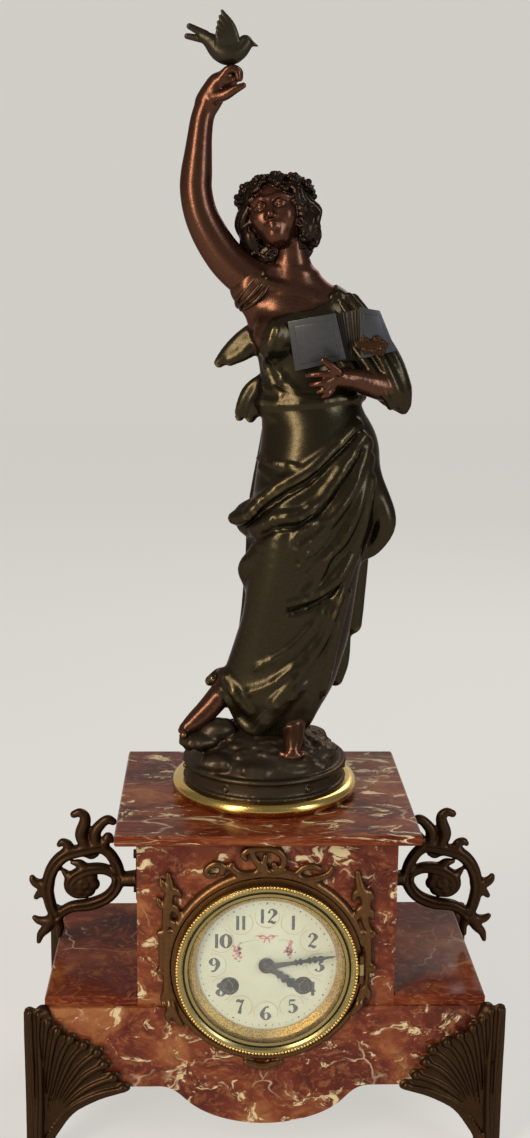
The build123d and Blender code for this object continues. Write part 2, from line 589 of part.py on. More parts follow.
screw_seat = BASE_BOTTOM - FOOT_SEAT_THICK
foot_screw = Cylinder(FOOT_SCREW_RADIUS, FOOT_SEAT_THICK + FOOT_SCREW_BITE - SNUG, align=UPWARD)
foot_screw += Cylinder(FOOT_SCREW_HEAD, FOOT_SCREW_HEAD_THICK, align=DOWNWARD)
save("foot_screws", *[Pos(x, y, screw_seat) * foot_screw for x, y in screw_places])


# Side handles
def scroll_handle():
    """The right handle: a scroll of rounded strokes with a pad against the marble."""
    sketch = None
    for *points, width in HANDLE_STROKES:
        stroke = SlotArc(ThreePointArc(*[(half_pedestal + out, up) for out, up in points]), width)
        sketch = stroke if sketch is None else sketch + stroke
    handle = cut_out(sketch, -HANDLE_THICK / 2, HANDLE_THICK / 2)
    pad_x = half_pedestal + HANDLE_PAD_THICK
    half_pad = HANDLE_PAD_WIDTH / 2
    wall_inside = half_pedestal - OVERRUN
    handle -= block(wall_inside, half_pedestal, -HANDLE_THICK, HANDLE_THICK, BASE_TOP, PEDESTAL_TOP)
    handle += block(half_pedestal, pad_x, -half_pad, half_pad, HANDLE_PAD_BOTTOM, HANDLE_PAD_TOP)
    for level in handle_screw_levels:
        handle -= Pos(half_pedestal, 0, level) * handle_screw_hole
    return handle


right_handle = scroll_handle()
save("handle_right", right_handle)
save("handle_left", mirror(right_handle, Plane.YZ))

handle_screw = Cylinder(HANDLE_SCREW_RADIUS, HANDLE_PAD_THICK + HANDLE_SCREW_BITE - 2 * SNUG, align=DOWNWARD)
handle_screw += Cylinder(HANDLE_SCREW_HEAD, HANDLE_SCREW_HEAD_THICK, align=UPWARD)
handle_screw_x = half_pedestal + HANDLE_PAD_THICK
handle_screw = Rot(0, QUARTER_TURN, 0) * handle_screw
right_screws = [Pos(handle_screw_x, 0, level) * handle_screw for level in handle_screw_levels]
save("handle_screws", *[screw for right in right_screws for screw in both_sides(right)])


# Plinth ring, ground and fixing stud
def turned_up(points):
    """A solid turned about the upright axis of the figure."""
    face = make_face(Polyline(*points, close=True))
    return Pos(0, FIGURE_SETBACK, 0) * revolve(Plane.XZ * face, Axis.Z, FULL_TURN)


ring_top = CASE_TOP + RING_HEIGHT
ring_round = RING_HEIGHT / 2
ground_seat = CASE_TOP + RING_FLANGE
ring_wall = GROUND_RADIUS + LOOSE
bead_centre = RING_RADIUS - ring_round
ring_body = turned_up([
    (RING_BORE, CASE_TOP), (bead_centre, CASE_TOP), (bead_centre, ring_top),
    (ring_wall, ring_top), (ring_wall, ground_seat), (RING_BORE, ground_seat)])
ring_bead = Pos(0, FIGURE_SETBACK, CASE_TOP + ring_round) * Torus(bead_centre, ring_round)
bead_keep = turned_up([
    (ring_wall, CASE_TOP), (RING_RADIUS, CASE_TOP), (RING_RADIUS, ring_top), (ring_wall, ring_top)])
save("plinth_ring", ring_body + (ring_bead & bead_keep))

ground_points = [(0.0, ground_seat), (GROUND_RADIUS, ground_seat)]
band_top = CASE_TOP + GROUND_BAND
ground_points += [(GROUND_RADIUS * out, band_top + GROUND_RISE * up) for out, up in GROUND_CORE_SHARES]
ground = turned_up(ground_points)
stud_top = ground_seat + STUD_GRIP
stud_bottom = PEDESTAL_TOP - STUD_TAIL
stud_bore = STUD_RADIUS + SNUG
ground -= turned_up([(0.0, CASE_TOP), (stud_bore, CASE_TOP), (stud_bore, stud_top), (0.0, stud_top)])
save("ground", ground)
stud = turned_up([(0.0, stud_bottom), (STUD_RADIUS, stud_bottom), (STUD_RADIUS, stud_top), (0.0, stud_top)])
nut_plane = Plane(origin=(0, FIGURE_SETBACK, PEDESTAL_TOP - NUT_THICK))
nut = extrude(nut_plane * RegularPolygon(NUT_RADIUS, 6), NUT_THICK)
nut -= Pos(0, FIGURE_SETBACK, PEDESTAL_TOP) * Cylinder(STUD_RADIUS + SNUG, 2 * NUT_THICK + 2 * OVERRUN)
save("figure_stud", stud, nut)


# Figure
def figure_place(share):
    """A place in the clock from shares of the figure's height."""
    across, back, up = [FIGURE_HEIGHT * part for part in share[:3]]
    return (across, FIGURE_SETBACK + back, CASE_TOP + up)


def limb(rows):
    """A tapering round limb through places with radii, its ends flat."""
    places = [Vector(*figure_place(row)) for row in rows]
    faces = []
    for i, row in enumerate(rows):
        along = places[min(i + 1, len(rows) - 1)] - places[max(i - 1, 0)]
        faces.append(Plane(origin=places[i], z_dir=along) * Circle(FIGURE_HEIGHT * row[3]))
    return loft(faces)


def tipped_limb(rows):
    """A limb with a rounded far end."""
    return limb(rows) + Pos(*figure_place(rows[-1])) * Sphere(FIGURE_HEIGHT * rows[-1][3])


def egg(shares, place=figure_place):
    """A rounded mass with its own width, depth and height."""
    centre, radii = shares
    return Pos(*place(centre)) * scale(Sphere(1), tuple(FIGURE_HEIGHT * r for r in radii))


def head_local(share):
    """A place from the head's own middle."""
    return tuple(FIGURE_HEIGHT * part for part in share)


def stacked(levels):
    """A smooth mass through level ellipses: height, across, back, half width and half depth."""
    rows = []
    for level, across, back, half_width, half_depth in levels:
        plane = Plane(origin=figure_place((across, back, level)))
        rows.append(plane * Ellipse(FIGURE_HEIGHT * half_width, FIGURE_HEIGHT * half_depth))
    return loft(rows)


def grown(mass, forms):
    """A mass joined with each form in turn."""
    for form in forms:
        mass += form
    return mass


def robed_body():
    """The dress and trunk, with folds, the loose ends of the drapery and both feet."""
    forms = [tipped_limb(LEG_SHARES)]
    forms += [egg(shares) for shares in BUST_SHARES + SHOULDER_SHARES]
    forms += [tipped_limb(rows) for rows in DRAPE_SHARES + FOOT_TOE_SHARES]
    forms += [limb(rows) for rows in FOLD_SHARES]
    return grown(stacked(BODY_SHARES), forms) - ground


def wreathed_head():
    """The head with full hair, open at the face, and a wreath of rounded lumps, tilted into place."""
    masses = [egg(mass, head_local) for mass in HAIR_SHARES]
    hair = grown(masses[0], masses[1:]) - egg(FACE_OPENING_SHARES, head_local)
    forms = [egg(mass, head_local) for mass in SKULL_SHARES]
    for i in range(WREATH_LUMPS):
        across, behind = polar(1, i * FULL_TURN / WREATH_LUMPS + WREATH_START)
        place = (
            WREATH_SHARES[0] * across,
            WREATH_BACK_SHARE + WREATH_SHARES[1] * behind,
            WREATH_LIFT_SHARES[0] - WREATH_LIFT_SHARES[1] * behind)
        forms.append(Pos(*head_local(place)) * Sphere(FIGURE_HEIGHT * WREATH_LUMP_SHARE))
    tilt = Rot(0, HEAD_LEAN, 0) * Rot(0, 0, HEAD_TURN) * Rot(HEAD_BACK, 0, 0)
    return Pos(*figure_place(HEAD_PLACE_SHARES)) * tilt * grown(hair, forms)


def book_half(corners):
    """One half of the open book: a thick leaf block on four corners."""
    places = [Vector(*figure_place(corner)) for corner in corners]
    normal = (places[1] - places[0]).cross(places[3] - places[0]).normalized()
    plane = Plane(origin=places[0], x_dir=places[1] - places[0], z_dir=normal)
    flat = [plane.to_local_coords(place) for place in places]
    outline = Polyline(*[(p.X, p.Y) for p in flat], close=True)
    return extrude(plane * make_face(outline), FIGURE_HEIGHT * BOOK_THICK_SHARE)


body = robed_body()
save("figure_body", body)
head = wreathed_head() - body
save("figure_head", head)
raised_arm = limb(RAISED_ARM_SHARES)
for finger in RAISED_HAND_SHARES:
    raised_arm += tipped_limb(finger)
raised_arm = raised_arm - body - head
save("raised_arm", raised_arm)
book_fist = Pos(*figure_place(FOREARM_SHARES[-1])) * Sphere(FIGURE_HEIGHT * BOOK_FIST_SHARE)
book_arm = stacked(SLEEVE_SHARES) + limb(FOREARM_SHARES) + book_fist - body
save("book_arm", book_arm)
save("book", book_half(BOOK_LEFT_SHARES) + book_half(BOOK_RIGHT_SHARES) - body - book_arm - head)
save("bird", tipped_limb(BIRD_SHARES) + tipped_limb(WING_SHARES) - raised_arm)


# Drum, doors and dial
def hinge_half(fixed, y, lift):
    """Knuckles of the upright hinge right of the dial: the two fixed ones with the pin, or the moving one."""
    axis_x = BEZEL_RADIUS + HINGE_OFFSET
    half = HINGE_KNUCKLE / 2
    far = half + HINGE_GAP + HINGE_SIDE_KNUCKLE
    bore = Pos(axis_x, y, DIAL_HEIGHT) * Cylinder(HINGE_PIN + RUNNING, 2 * far)
    if not fixed:
        barrel = Pos(axis_x, y, DIAL_HEIGHT) * Cylinder(HINGE_BARREL, HINGE_KNUCKLE)
        arm = block(BEZEL_RADIUS - HINGE_LEAF, axis_x, y - HINGE_LEAF / 2, y + HINGE_LEAF / 2,
                    DIAL_HEIGHT - half, DIAL_HEIGHT + half)
        return barrel + arm - bore
    pieces = Pos(axis_x, y, DIAL_HEIGHT) * Cylinder(HINGE_PIN, 2 * far)
    for side in (1, -1):
        middle = DIAL_HEIGHT + side * (far - HINGE_SIDE_KNUCKLE / 2)
        low = middle - HINGE_SIDE_KNUCKLE / 2
        pieces += Pos(axis_x, y, middle) * Cylinder(HINGE_BARREL, HINGE_SIDE_KNUCKLE)
        leaf_x = axis_x - HINGE_LEAF / 2
        pieces += block(leaf_x, leaf_x + HINGE_LEAF, y, lift, low, low + HINGE_SIDE_KNUCKLE)
    return pieces


base_solid = block(-half_base, half_base, BASE_FRONT, -BASE_FRONT, BASE_BOTTOM, BASE_TOP)
hinge_y = FLANGE_FRONT - HINGE_REACH
drum_with_flange = ring_bar(DRUM_RADIUS, DRUM_BORE, FLANGE_FRONT, DRUM_END)
flange = ring_bar(FLANGE_RADIUS, DRUM_RADIUS, FLANGE_FRONT, PEDESTAL_FRONT)
drum_with_flange += flange - (base_solid - drum_cut)
drum_with_flange += hinge_half(True, hinge_y, PEDESTAL_FRONT)
rear_bezel = Rot(0, 0, HALF_TURN) * drum_with_flange
dial_ring = drum_with_flange + ring_bar(DRUM_RADIUS, SHOULDER_RADIUS, DIAL_REAR, PLATE_FRONT)
dial_ring -= bar(REGULATOR_RADIUS + RUNNING, 0, REGULATOR_HEIGHT, FLANGE_FRONT, PLATE_FRONT + OVERRUN)
save("dial_ring", dial_ring)
save("rear_bezel", rear_bezel)

enamel = bar(DRUM_BORE - RUNNING, 0, 0, DIAL_FRONT, DIAL_REAR)
enamel -= bar(DIAL_CENTRE_HOLE, 0, 0, FLANGE_FRONT, PLATE_FRONT)
enamel -= bar(REGULATOR_HOLE - LOOSE, 0, REGULATOR_HEIGHT - LOOSE, FLANGE_FRONT, PLATE_FRONT)
for side in (1, -1):
    enamel -= bar(WINDING_HOLE, side * BARREL_PLACE[0], BARREL_PLACE[1], FLANGE_FRONT, PLATE_FRONT)
save("enamel_dial", enamel)

bezel_rear = FLANGE_FRONT - BEZEL_GAP
bezel_front = bezel_rear - BEZEL_DEPTH
glass_rear = bezel_rear - GLASS_LIP + BEZEL_GAP
glass_front = glass_rear - GLASS_THICK
rim_inner = BEZEL_RADIUS - BEZEL_RIM
glass_seat = GLASS_RADIUS + SNUG
rim_crown = BEZEL_RADIUS - BEZEL_ROUND
bezel = spun([
    (glass_seat, bezel_rear), (rim_crown, bezel_rear), (BEZEL_RADIUS, bezel_rear - BEZEL_ROUND),
    (BEZEL_RADIUS, bezel_front + BEZEL_ROUND), (rim_crown, bezel_front),
    (rim_inner + BEZEL_ROUND, bezel_front), (rim_inner, bezel_front + BEZEL_ROUND),
    (glass_seat - GLASS_LIP, glass_front - LIP_THICK), (glass_seat - GLASS_LIP, glass_front),
    (glass_seat, glass_front)])
save("bezel", bezel + hinge_half(False, hinge_y, 0))
save("bezel_glass", bar(GLASS_RADIUS, 0, 0, glass_front, glass_rear))
sight_inner_y = DIAL_FRONT - SIGHT_DIAL_GAP
sight_mouth = SIGHT_RADIUS + SIGHT_SLOPE
save("sight_ring", spun([
    (SIGHT_RADIUS, sight_inner_y), (sight_mouth, bezel_rear), (GLASS_RADIUS, bezel_rear),
    (GLASS_RADIUS, glass_rear), (sight_mouth, glass_rear), (SIGHT_RADIUS, sight_inner_y - SIGHT_THICK)]))

door_front = -FLANGE_FRONT + BEZEL_GAP
door_rear = door_front + DOOR_THICK
door = ring_bar(BEZEL_RADIUS, DRUM_BORE, door_front, door_front + 2 * DOOR_THICK)
door += bar(DOOR_RADIUS, 0, 0, door_front, door_rear)
for i in range(SOUND_HOLES):
    hole_x, hole_z = polar(SOUND_CIRCLE, i * FULL_TURN / SOUND_HOLES)
    door -= bar(SOUND_HOLE, hole_x, hole_z, door_front - OVERRUN, door_rear + OVERRUN)
door += bar(KNOB_RADIUS, KNOB_PLACE, 0, door_rear, door_rear + KNOB_LENGTH)
save("rear_door", door + Rot(0, 0, HALF_TURN) * hinge_half(False, hinge_y, 0))

strap_x = DRUM_BORE - RUNNING
strap = block(strap_x - STRAP_THICK, strap_x, PLATE_FRONT, -DRUM_END + DRUM_LENGTH - DRUM_WALL,
              DIAL_HEIGHT - STRAP_WIDTH / 2, DIAL_HEIGHT + STRAP_WIDTH / 2)
strap = strap & bar(strap_x, 0, 0, -BASE_DEPTH, BASE_DEPTH)
save("straps", *both_sides(strap))

outline = [(x, z) for x, z in SURROUND_OUTLINE] + [(-x, z) for x, z in reversed(SURROUND_OUTLINE[1:-1])]
surround_sketch = make_face(Spline(*outline, periodic=True)) - Pos(0, DIAL_HEIGHT) * Circle(SURROUND_BORE)
surround = cut_out(surround_sketch, PEDESTAL_FRONT - SURROUND_THICK, PEDESTAL_FRONT) - base_solid
hinge_x = BEZEL_RADIUS + HINGE_OFFSET
notch_half = HINGE_KNUCKLE / 2 + HINGE_SIDE_KNUCKLE + 2 * HINGE_GAP
notch_x = hinge_x + HINGE_BARREL + HINGE_GAP
notch_low = DIAL_HEIGHT - notch_half
surround -= block(hinge_x - HINGE_BARREL, notch_x, -BASE_DEPTH, 0, notch_low, DIAL_HEIGHT + notch_half)
save("dial_surround", surround)


# Wheels
def toothed(teeth, module, phase, rows):
    """A flat toothed shape; the rows give one tooth's heights and widths."""
    pitch = FULL_TURN / teeth
    radius = teeth * module / 2
    points = []
    for i in range(teeth):
        middle = phase + i * pitch
        points += [polar(radius + up * module, middle - wide * pitch / 2) for up, wide in rows]
        points += [polar(radius + up * module, middle + wide * pitch / 2) for up, wide in reversed(rows)]
    return make_face(Polyline(*points, close=True))


def spoked(teeth, module, phase):
    """A wheel's flat shape with round openings between its spokes."""
    radius = teeth * module / 2
    openings = PolarLocations(SPOKE_CIRCLE_SHARE * radius, SPOKE_HOLES) * Circle(SPOKE_HOLE_SHARE * radius)
    return toothed(teeth, module, phase, WHEEL_TOOTH_SHARES) - openings


def layer(sketch, place, depths):
    """A flat shape between two depths behind the front plate."""
    return cut_out(sketch, PLATE_REAR + depths[0], PLATE_REAR + depths[1], place[0], DIAL_HEIGHT + place[1])


def ahead(sketch, place, depths):
    """A flat shape between two distances in front of the front plate."""
    return cut_out(sketch, PLATE_FRONT - depths[1], PLATE_FRONT - depths[0], place[0], DIAL_HEIGHT + place[1])


def arbor(place, radius, pivot):
    """An arbor between the plates with a pivot in each."""
    between = bar(radius, place[0], place[1], PLATE_REAR + END_SHAKE, BACK_PLATE_FRONT - END_SHAKE)
    return between + bar(pivot, place[0], place[1], PLATE_FRONT, BACK_PLATE_REAR)


def in_mesh(a_place, a_teeth, a_phase, b_place, b_teeth):
    """The phase that puts gear b's gap on gear a's tooth."""
    towards = math.degrees(math.atan2(b_place[1] - a_place[1], b_place[0] - a_place[0]))
    return towards + FULL_TURN / 2 - (a_teeth / b_teeth) * (a_phase - towards) + FULL_TURN / (2 * b_teeth)


def wheel_and_pinion(place, wheel, wheel_layer, pinion, pinion_layer, radius, pivot):
    """A wheel and a pinion on one arbor."""
    return layer(wheel, place, wheel_layer) + layer(pinion, place, pinion_layer) + arbor(place, radius, pivot)


centre = (0.0, 0.0)
going = BARREL_PLACE
strike = (-BARREL_PLACE[0], BARREL_PLACE[1])
barrel_reach = (BARREL_TEETH + BARREL_PINION) * BARREL_MODULE / 2
second_reach = (SECOND_TEETH + CENTRE_PINION) * SECOND_MODULE / 2
centre_reach = math.dist(going, centre)
opening = (centre_reach ** 2 + second_reach ** 2 - barrel_reach ** 2) / (2 * centre_reach * second_reach)
second_angle = math.degrees(math.atan2(going[1], going[0]) + math.acos(opening))
second = polar(second_reach, second_angle)
third = polar((CENTRE_TEETH + THIRD_PINION) * FAST_MODULE / 2, THIRD_ANGLE)
escape_reach = (THIRD_TEETH + ESCAPE_PINION) * FAST_MODULE / 2
escape = (0.0, third[1] + math.sqrt(escape_reach ** 2 - third[0] ** 2))
pallet = (0.0, PALLET_HEIGHT)
strike_second = polar(barrel_reach, STRIKE_SECOND_ANGLE, strike)
pin_place = polar((STRIKE_TEETH + PIN_WHEEL_PINION) * SECOND_MODULE / 2, PIN_WHEEL_ANGLE, strike_second)
warning = polar((PIN_WHEEL_TEETH + WARNING_PINION) * STRIKE_MODULE / 2, WARNING_ANGLE, pin_place)
fly_place = polar((WARNING_TEETH + FLY_PINION) * STRIKE_MODULE / 2, FLY_ANGLE, warning)
minute_place = (0.0, -(CANNON_TEETH + MINUTE_WHEEL_TEETH) * CANNON_MODULE / 2)


def spring_barrel(place):
    """A barrel with its toothed rim, hollow for the mainspring."""
    y0 = PLATE_REAR + BARREL_DRUM_LAYER[0]
    y1 = PLATE_REAR + BARREL_DRUM_LAYER[1]
    bore = BARREL_ARBOR + RUNNING
    inner = BARREL_RADIUS - BARREL_WALL
    floor = y0 + BARREL_WALL
    profile = [(bore, y0), (BARREL_RADIUS, y0), (BARREL_RADIUS, y1)]
    profile += [(inner, y1), (inner, floor), (bore, floor)]
    shell = spun(profile, *place)
    shell += layer(toothed(BARREL_TEETH, BARREL_MODULE, 0, WHEEL_TOOTH_SHARES), place, BARREL_WHEEL_LAYER)
    return shell - bar(bore, place[0], place[1], PLATE_REAR, BACK_PLATE_FRONT)


def winding_arbor(place):
    """A barrel arbor with the square for the key behind the dial."""
    stem = bar(BARREL_ARBOR, place[0], place[1], PLATE_FRONT - END_SHAKE, BACK_PLATE_FRONT - END_SHAKE)
    stem += bar(BARREL_PIVOT, place[0], place[1], BACK_PLATE_FRONT - END_SHAKE, BACK_PLATE_REAR)
    square = Rectangle(WINDING_SQUARE, WINDING_SQUARE)
    return stem + cut_out(square, DIAL_FRONT + WINDING_END, PLATE_FRONT, place[0], DIAL_HEIGHT + place[1])


def pinion(teeth, module, phase):
    """A pinion's flat shape."""
    return toothed(teeth, module, phase, PINION_TOOTH_SHARES)


def escape_shape():
    """The escape wheel: forward-leaning pointed teeth."""
    pitch = FULL_TURN / ESCAPE_TEETH
    points = []
    for i in range(ESCAPE_TEETH):
        points += [polar(ESCAPE_RADIUS * out, (i + along) * pitch) for along, out in ESCAPE_TOOTH_SHARES]
    return make_face(Polyline(*points, close=True))


save("going_barrel", spring_barrel(going))
save("strike_barrel", spring_barrel(strike))
save("going_winding_arbor", winding_arbor(going))
save("strike_winding_arbor", winding_arbor(strike))
second_phase = in_mesh(going, BARREL_TEETH, 0, second, BARREL_PINION)
save("intermediate_wheel", wheel_and_pinion(
    second, spoked(SECOND_TEETH, SECOND_MODULE, 0), SECOND_LAYER,
    pinion(BARREL_PINION, BARREL_MODULE, second_phase), BARREL_PINION_LAYER, ARBOR, ARBOR_PIVOT))
centre_phase = in_mesh(second, SECOND_TEETH, 0, centre, CENTRE_PINION)
hand_end = DIAL_FRONT - MINUTE_HAND_LIFT - HAND_THICK
centre_wheel = wheel_and_pinion(
    centre, spoked(CENTRE_TEETH, FAST_MODULE, 0), CENTRE_LAYER,
    pinion(CENTRE_PINION, SECOND_MODULE, centre_phase), CENTRE_PINION_LAYER, CENTRE_ARBOR, ARBOR_PIVOT)
centre_wheel += bar(CENTRE_ARBOR, 0, 0, hand_end, PLATE_REAR + END_SHAKE)
save("centre_wheel", centre_wheel)
third_phase = in_mesh(centre, CENTRE_TEETH, 0, third, THIRD_PINION)
save("third_wheel", wheel_and_pinion(
    third, spoked(THIRD_TEETH, FAST_MODULE, 0), THIRD_LAYER,
    pinion(THIRD_PINION, FAST_MODULE, third_phase), THIRD_PINION_LAYER, FAST_ARBOR, FAST_PIVOT))
escape_phase = in_mesh(third, THIRD_TEETH, 0, escape, ESCAPE_PINION)
save("escape_wheel", wheel_and_pinion(
    escape, escape_shape(), ESCAPE_LAYER,
    pinion(ESCAPE_PINION, FAST_MODULE, escape_phase), ESCAPE_PINION_LAYER, FAST_ARBOR, FAST_PIVOT))

strike_phase = in_mesh(strike, BARREL_TEETH, 0, strike_second, BARREL_PINION)
save("strike_second_wheel", wheel_and_pinion(
    strike_second, spoked(STRIKE_TEETH, SECOND_MODULE, 0), STRIKE_SECOND_LAYER,
    pinion(BARREL_PINION, BARREL_MODULE, strike_phase), BARREL_PINION_LAYER, ARBOR, ARBOR_PIVOT))
pin_phase = in_mesh(strike_second, STRIKE_TEETH, 0, pin_place, PIN_WHEEL_PINION)
pin_wheel = wheel_and_pinion(
    pin_place, spoked(PIN_WHEEL_TEETH, STRIKE_MODULE, 0), PIN_WHEEL_LAYER,
    pinion(PIN_WHEEL_PINION, SECOND_MODULE, pin_phase), PIN_PINION_LAYER, ARBOR, ARBOR_PIVOT)
for i in range(LIFT_PINS):
    pin_x, pin_z = polar(LIFT_PIN_CIRCLE, i * FULL_TURN / LIFT_PINS, pin_place)
    pin_y = PLATE_REAR + PIN_WHEEL_LAYER[1]
    pin_wheel += bar(LIFT_PIN_RADIUS, pin_x, pin_z, pin_y, pin_y + LIFT_PIN_LENGTH)
save("pin_wheel", pin_wheel)
warning_phase = in_mesh(pin_place, PIN_WHEEL_TEETH, 0, warning, WARNING_PINION)
save("warning_wheel", wheel_and_pinion(
    warning, spoked(WARNING_TEETH, STRIKE_MODULE, 0), WARNING_LAYER,
    pinion(WARNING_PINION, STRIKE_MODULE, warning_phase), WARNING_PINION_LAYER, FAST_ARBOR, FAST_PIVOT))
fly_phase = in_mesh(warning, WARNING_TEETH, 0, fly_place, FLY_PINION)
fly_vane = Rectangle(2 * FLY_HALF_SPAN, FLY_VANE_THICK) + Circle(FLY_HUB)
save("fly", wheel_and_pinion(
    fly_place, fly_vane, FLY_VANE_LAYER,
    pinion(FLY_PINION, STRIKE_MODULE, fly_phase), FLY_PINION_LAYER, FAST_ARBOR, FAST_PIVOT))

# Motion work and hands
pipe_bore = CENTRE_ARBOR + RUNNING
cannon = ahead(pinion(CANNON_TEETH, CANNON_MODULE, 0), centre, CANNON_LAYER)
cannon += bar(CANNON_PIPE, 0, 0, hand_end, PLATE_FRONT - CANNON_LAYER[0])
save("cannon_pinion", cannon - bar(pipe_bore, 0, 0, hand_end - OVERRUN, PLATE_REAR))
minute_phase = in_mesh(centre, CANNON_TEETH, 0, minute_place, MINUTE_WHEEL_TEETH)
minute_shape = spoked(MINUTE_WHEEL_TEETH, CANNON_MODULE, minute_phase)
minute_wheel = ahead(minute_shape, minute_place, MINUTE_WHEEL_LAYER)
minute_wheel += ahead(pinion(MINUTE_WHEEL_PINION, HOUR_MODULE, 0), minute_place, MINUTE_PINION_LAYER)
save("minute_wheel", minute_wheel - bar(MINUTE_STUD + RUNNING, *minute_place, DIAL_FRONT, PLATE_FRONT))
hour_phase = in_mesh(minute_place, MINUTE_WHEEL_PINION, 0, centre, HOUR_WHEEL_TEETH)
hour_pipe = CANNON_PIPE + RUNNING + HOUR_PIPE_WALL
hour_end = DIAL_FRONT - HOUR_HAND_LIFT - HAND_THICK
hour_wheel = ahead(spoked(HOUR_WHEEL_TEETH, HOUR_MODULE, hour_phase), centre, HOUR_WHEEL_LAYER)
hour_wheel += bar(hour_pipe, 0, 0, hour_end, PLATE_FRONT - HOUR_WHEEL_LAYER[0])
save("hour_wheel", hour_wheel - bar(CANNON_PIPE + RUNNING, 0, 0, hour_end - OVERRUN, PLATE_FRONT))


def hand_shape(length, hub, hole):
    """A pierced hand pointing up: hub, stem, ring and leaf-shaped tip."""
    ring_at = length * HAND_RING_SHARE
    tip = [(0.0, length), (-HAND_LEAF / 2, ring_at + HAND_RING), (HAND_LEAF / 2, ring_at + HAND_RING)]
    shape = Circle(hub) + Pos(0, length / 2) * Rectangle(HAND_STEM, length - hub)
    shape += Pos(0, ring_at) * Circle(HAND_RING)
    shape -= Pos(0, ring_at) * Circle(HAND_RING - HAND_RING_WALL)
    return shape + make_face(Polyline(*tip, close=True)) - Circle(hole)


minute_turn = -FULL_TURN * TIME_MINUTES / MINUTES
hour_turn = -FULL_TURN * (TIME_HOURS + TIME_MINUTES / MINUTES) / HOURS
minute_y = DIAL_FRONT - MINUTE_HAND_LIFT
minute_sketch = Rot(0, 0, minute_turn) * hand_shape(MINUTE_LENGTH, HAND_HUB, CANNON_PIPE)
minute_hand = cut_out(minute_sketch, minute_y - HAND_THICK, minute_y, 0, DIAL_HEIGHT)
minute_hand += bar(HAND_NUT, 0, 0, hand_end - HAND_NUT_THICK, hand_end)
save("minute_hand", minute_hand)
hour_y = DIAL_FRONT - HOUR_HAND_LIFT
hour_sketch = Rot(0, 0, hour_turn) * hand_shape(HOUR_LENGTH, HAND_HUB + HOUR_PIPE_WALL, hour_pipe)
save("hour_hand", cut_out(hour_sketch, hour_y - HAND_THICK, hour_y, 0, DIAL_HEIGHT))

# Pallets with the crutch, pendulum, cock and regulator
pallet_tip = ESCAPE_RADIUS + PALLET_CLEAR
pallet_sketch = Circle(PALLET_HUB)
for side in (1, -1):
    tip_angle = QUARTER_TURN - side * PALLET_ANGLE
    tip_x, tip_z = polar(pallet_tip + PALLET_ARM / 2, tip_angle, (0.0, escape[1] - pallet[1]))
    bend = (tip_x * PALLET_BEND_SHARES[0], tip_z * PALLET_BEND_SHARES[1])
    pallet_sketch += SlotArc(ThreePointArc((0, 0), bend, (tip_x, tip_z)), PALLET_ARM)
pallets = layer(pallet_sketch, pallet, PALLET_LAYER) + arbor(pallet, ARBOR, ARBOR_PIVOT)
crutch_front = BACK_PLATE_REAR + CRUTCH_GAP
crutch_rear = crutch_front + CRUTCH_THICK
pallets += bar(ARBOR_PIVOT, 0, PALLET_HEIGHT, BACK_PLATE_REAR, crutch_front)
pallets += bar(PALLET_HUB, 0, PALLET_HEIGHT, crutch_front, crutch_rear)
crutch_z = DIAL_HEIGHT + PALLET_HEIGHT
crutch_low = crutch_z - CRUTCH_LENGTH
pallets += block(-CRUTCH_WIDTH / 2, CRUTCH_WIDTH / 2, crutch_front, crutch_rear, crutch_low, crutch_z)
fork_end = ROD_Y + 2 * ROD_RADIUS
fork_high = crutch_low + CRUTCH_FOOT_HEIGHT
fork = block(-CRUTCH_FOOT / 2, CRUTCH_FOOT / 2, crutch_front, fork_end, crutch_low, fork_high)
slot = ROD_RADIUS + RUNNING
fork -= block(-slot, slot, ROD_Y - slot, fork_end + OVERRUN, crutch_low - OVERRUN, crutch_z)
save("pallets", pallets + fork)

bob_z = crutch_z - PENDULUM_LENGTH
rod_bottom = bob_z - BOB_RADIUS - ROD_TAIL
rod = bar(ROD_EYE, 0, PALLET_HEIGHT, ROD_Y - ROD_EYE_THICK / 2, ROD_Y + ROD_EYE_THICK / 2)
rod += Pos(0, ROD_Y, (crutch_z + rod_bottom) / 2) * Cylinder(ROD_RADIUS, crutch_z - rod_bottom)
rod -= bar(COCK_PIN + RUNNING, 0, PALLET_HEIGHT, ROD_Y - OVERRUN, ROD_Y + OVERRUN)
save("pendulum_rod", rod)
rim = BOB_THICK * BOB_RIM_SHARE
bob_half = BOB_THICK / 2
bulge = bob_half - rim / 2
lens = [(0.0, -bob_half), (BOB_RADIUS / 2, -bulge), (BOB_RADIUS, -rim / 2), (BOB_RADIUS, rim / 2),
        (BOB_RADIUS / 2, bulge), (0.0, bob_half)]
bob = Pos(0, ROD_Y, bob_z) * revolve(make_face(Polyline(*lens, close=True)), Axis.Y, FULL_TURN)
rating_nut = Pos(0, ROD_Y, bob_z - BOB_RADIUS) * Cylinder(RATING_NUT_RADIUS, RATING_NUT_THICK,
                                                        align=DOWNWARD)
rod_hole = Pos(0, ROD_Y, bob_z) * Cylinder(ROD_RADIUS + RUNNING, 2 * BOB_RADIUS + 2 * OVERRUN)
save("pendulum_bob", bob + rating_nut - rod_hole)

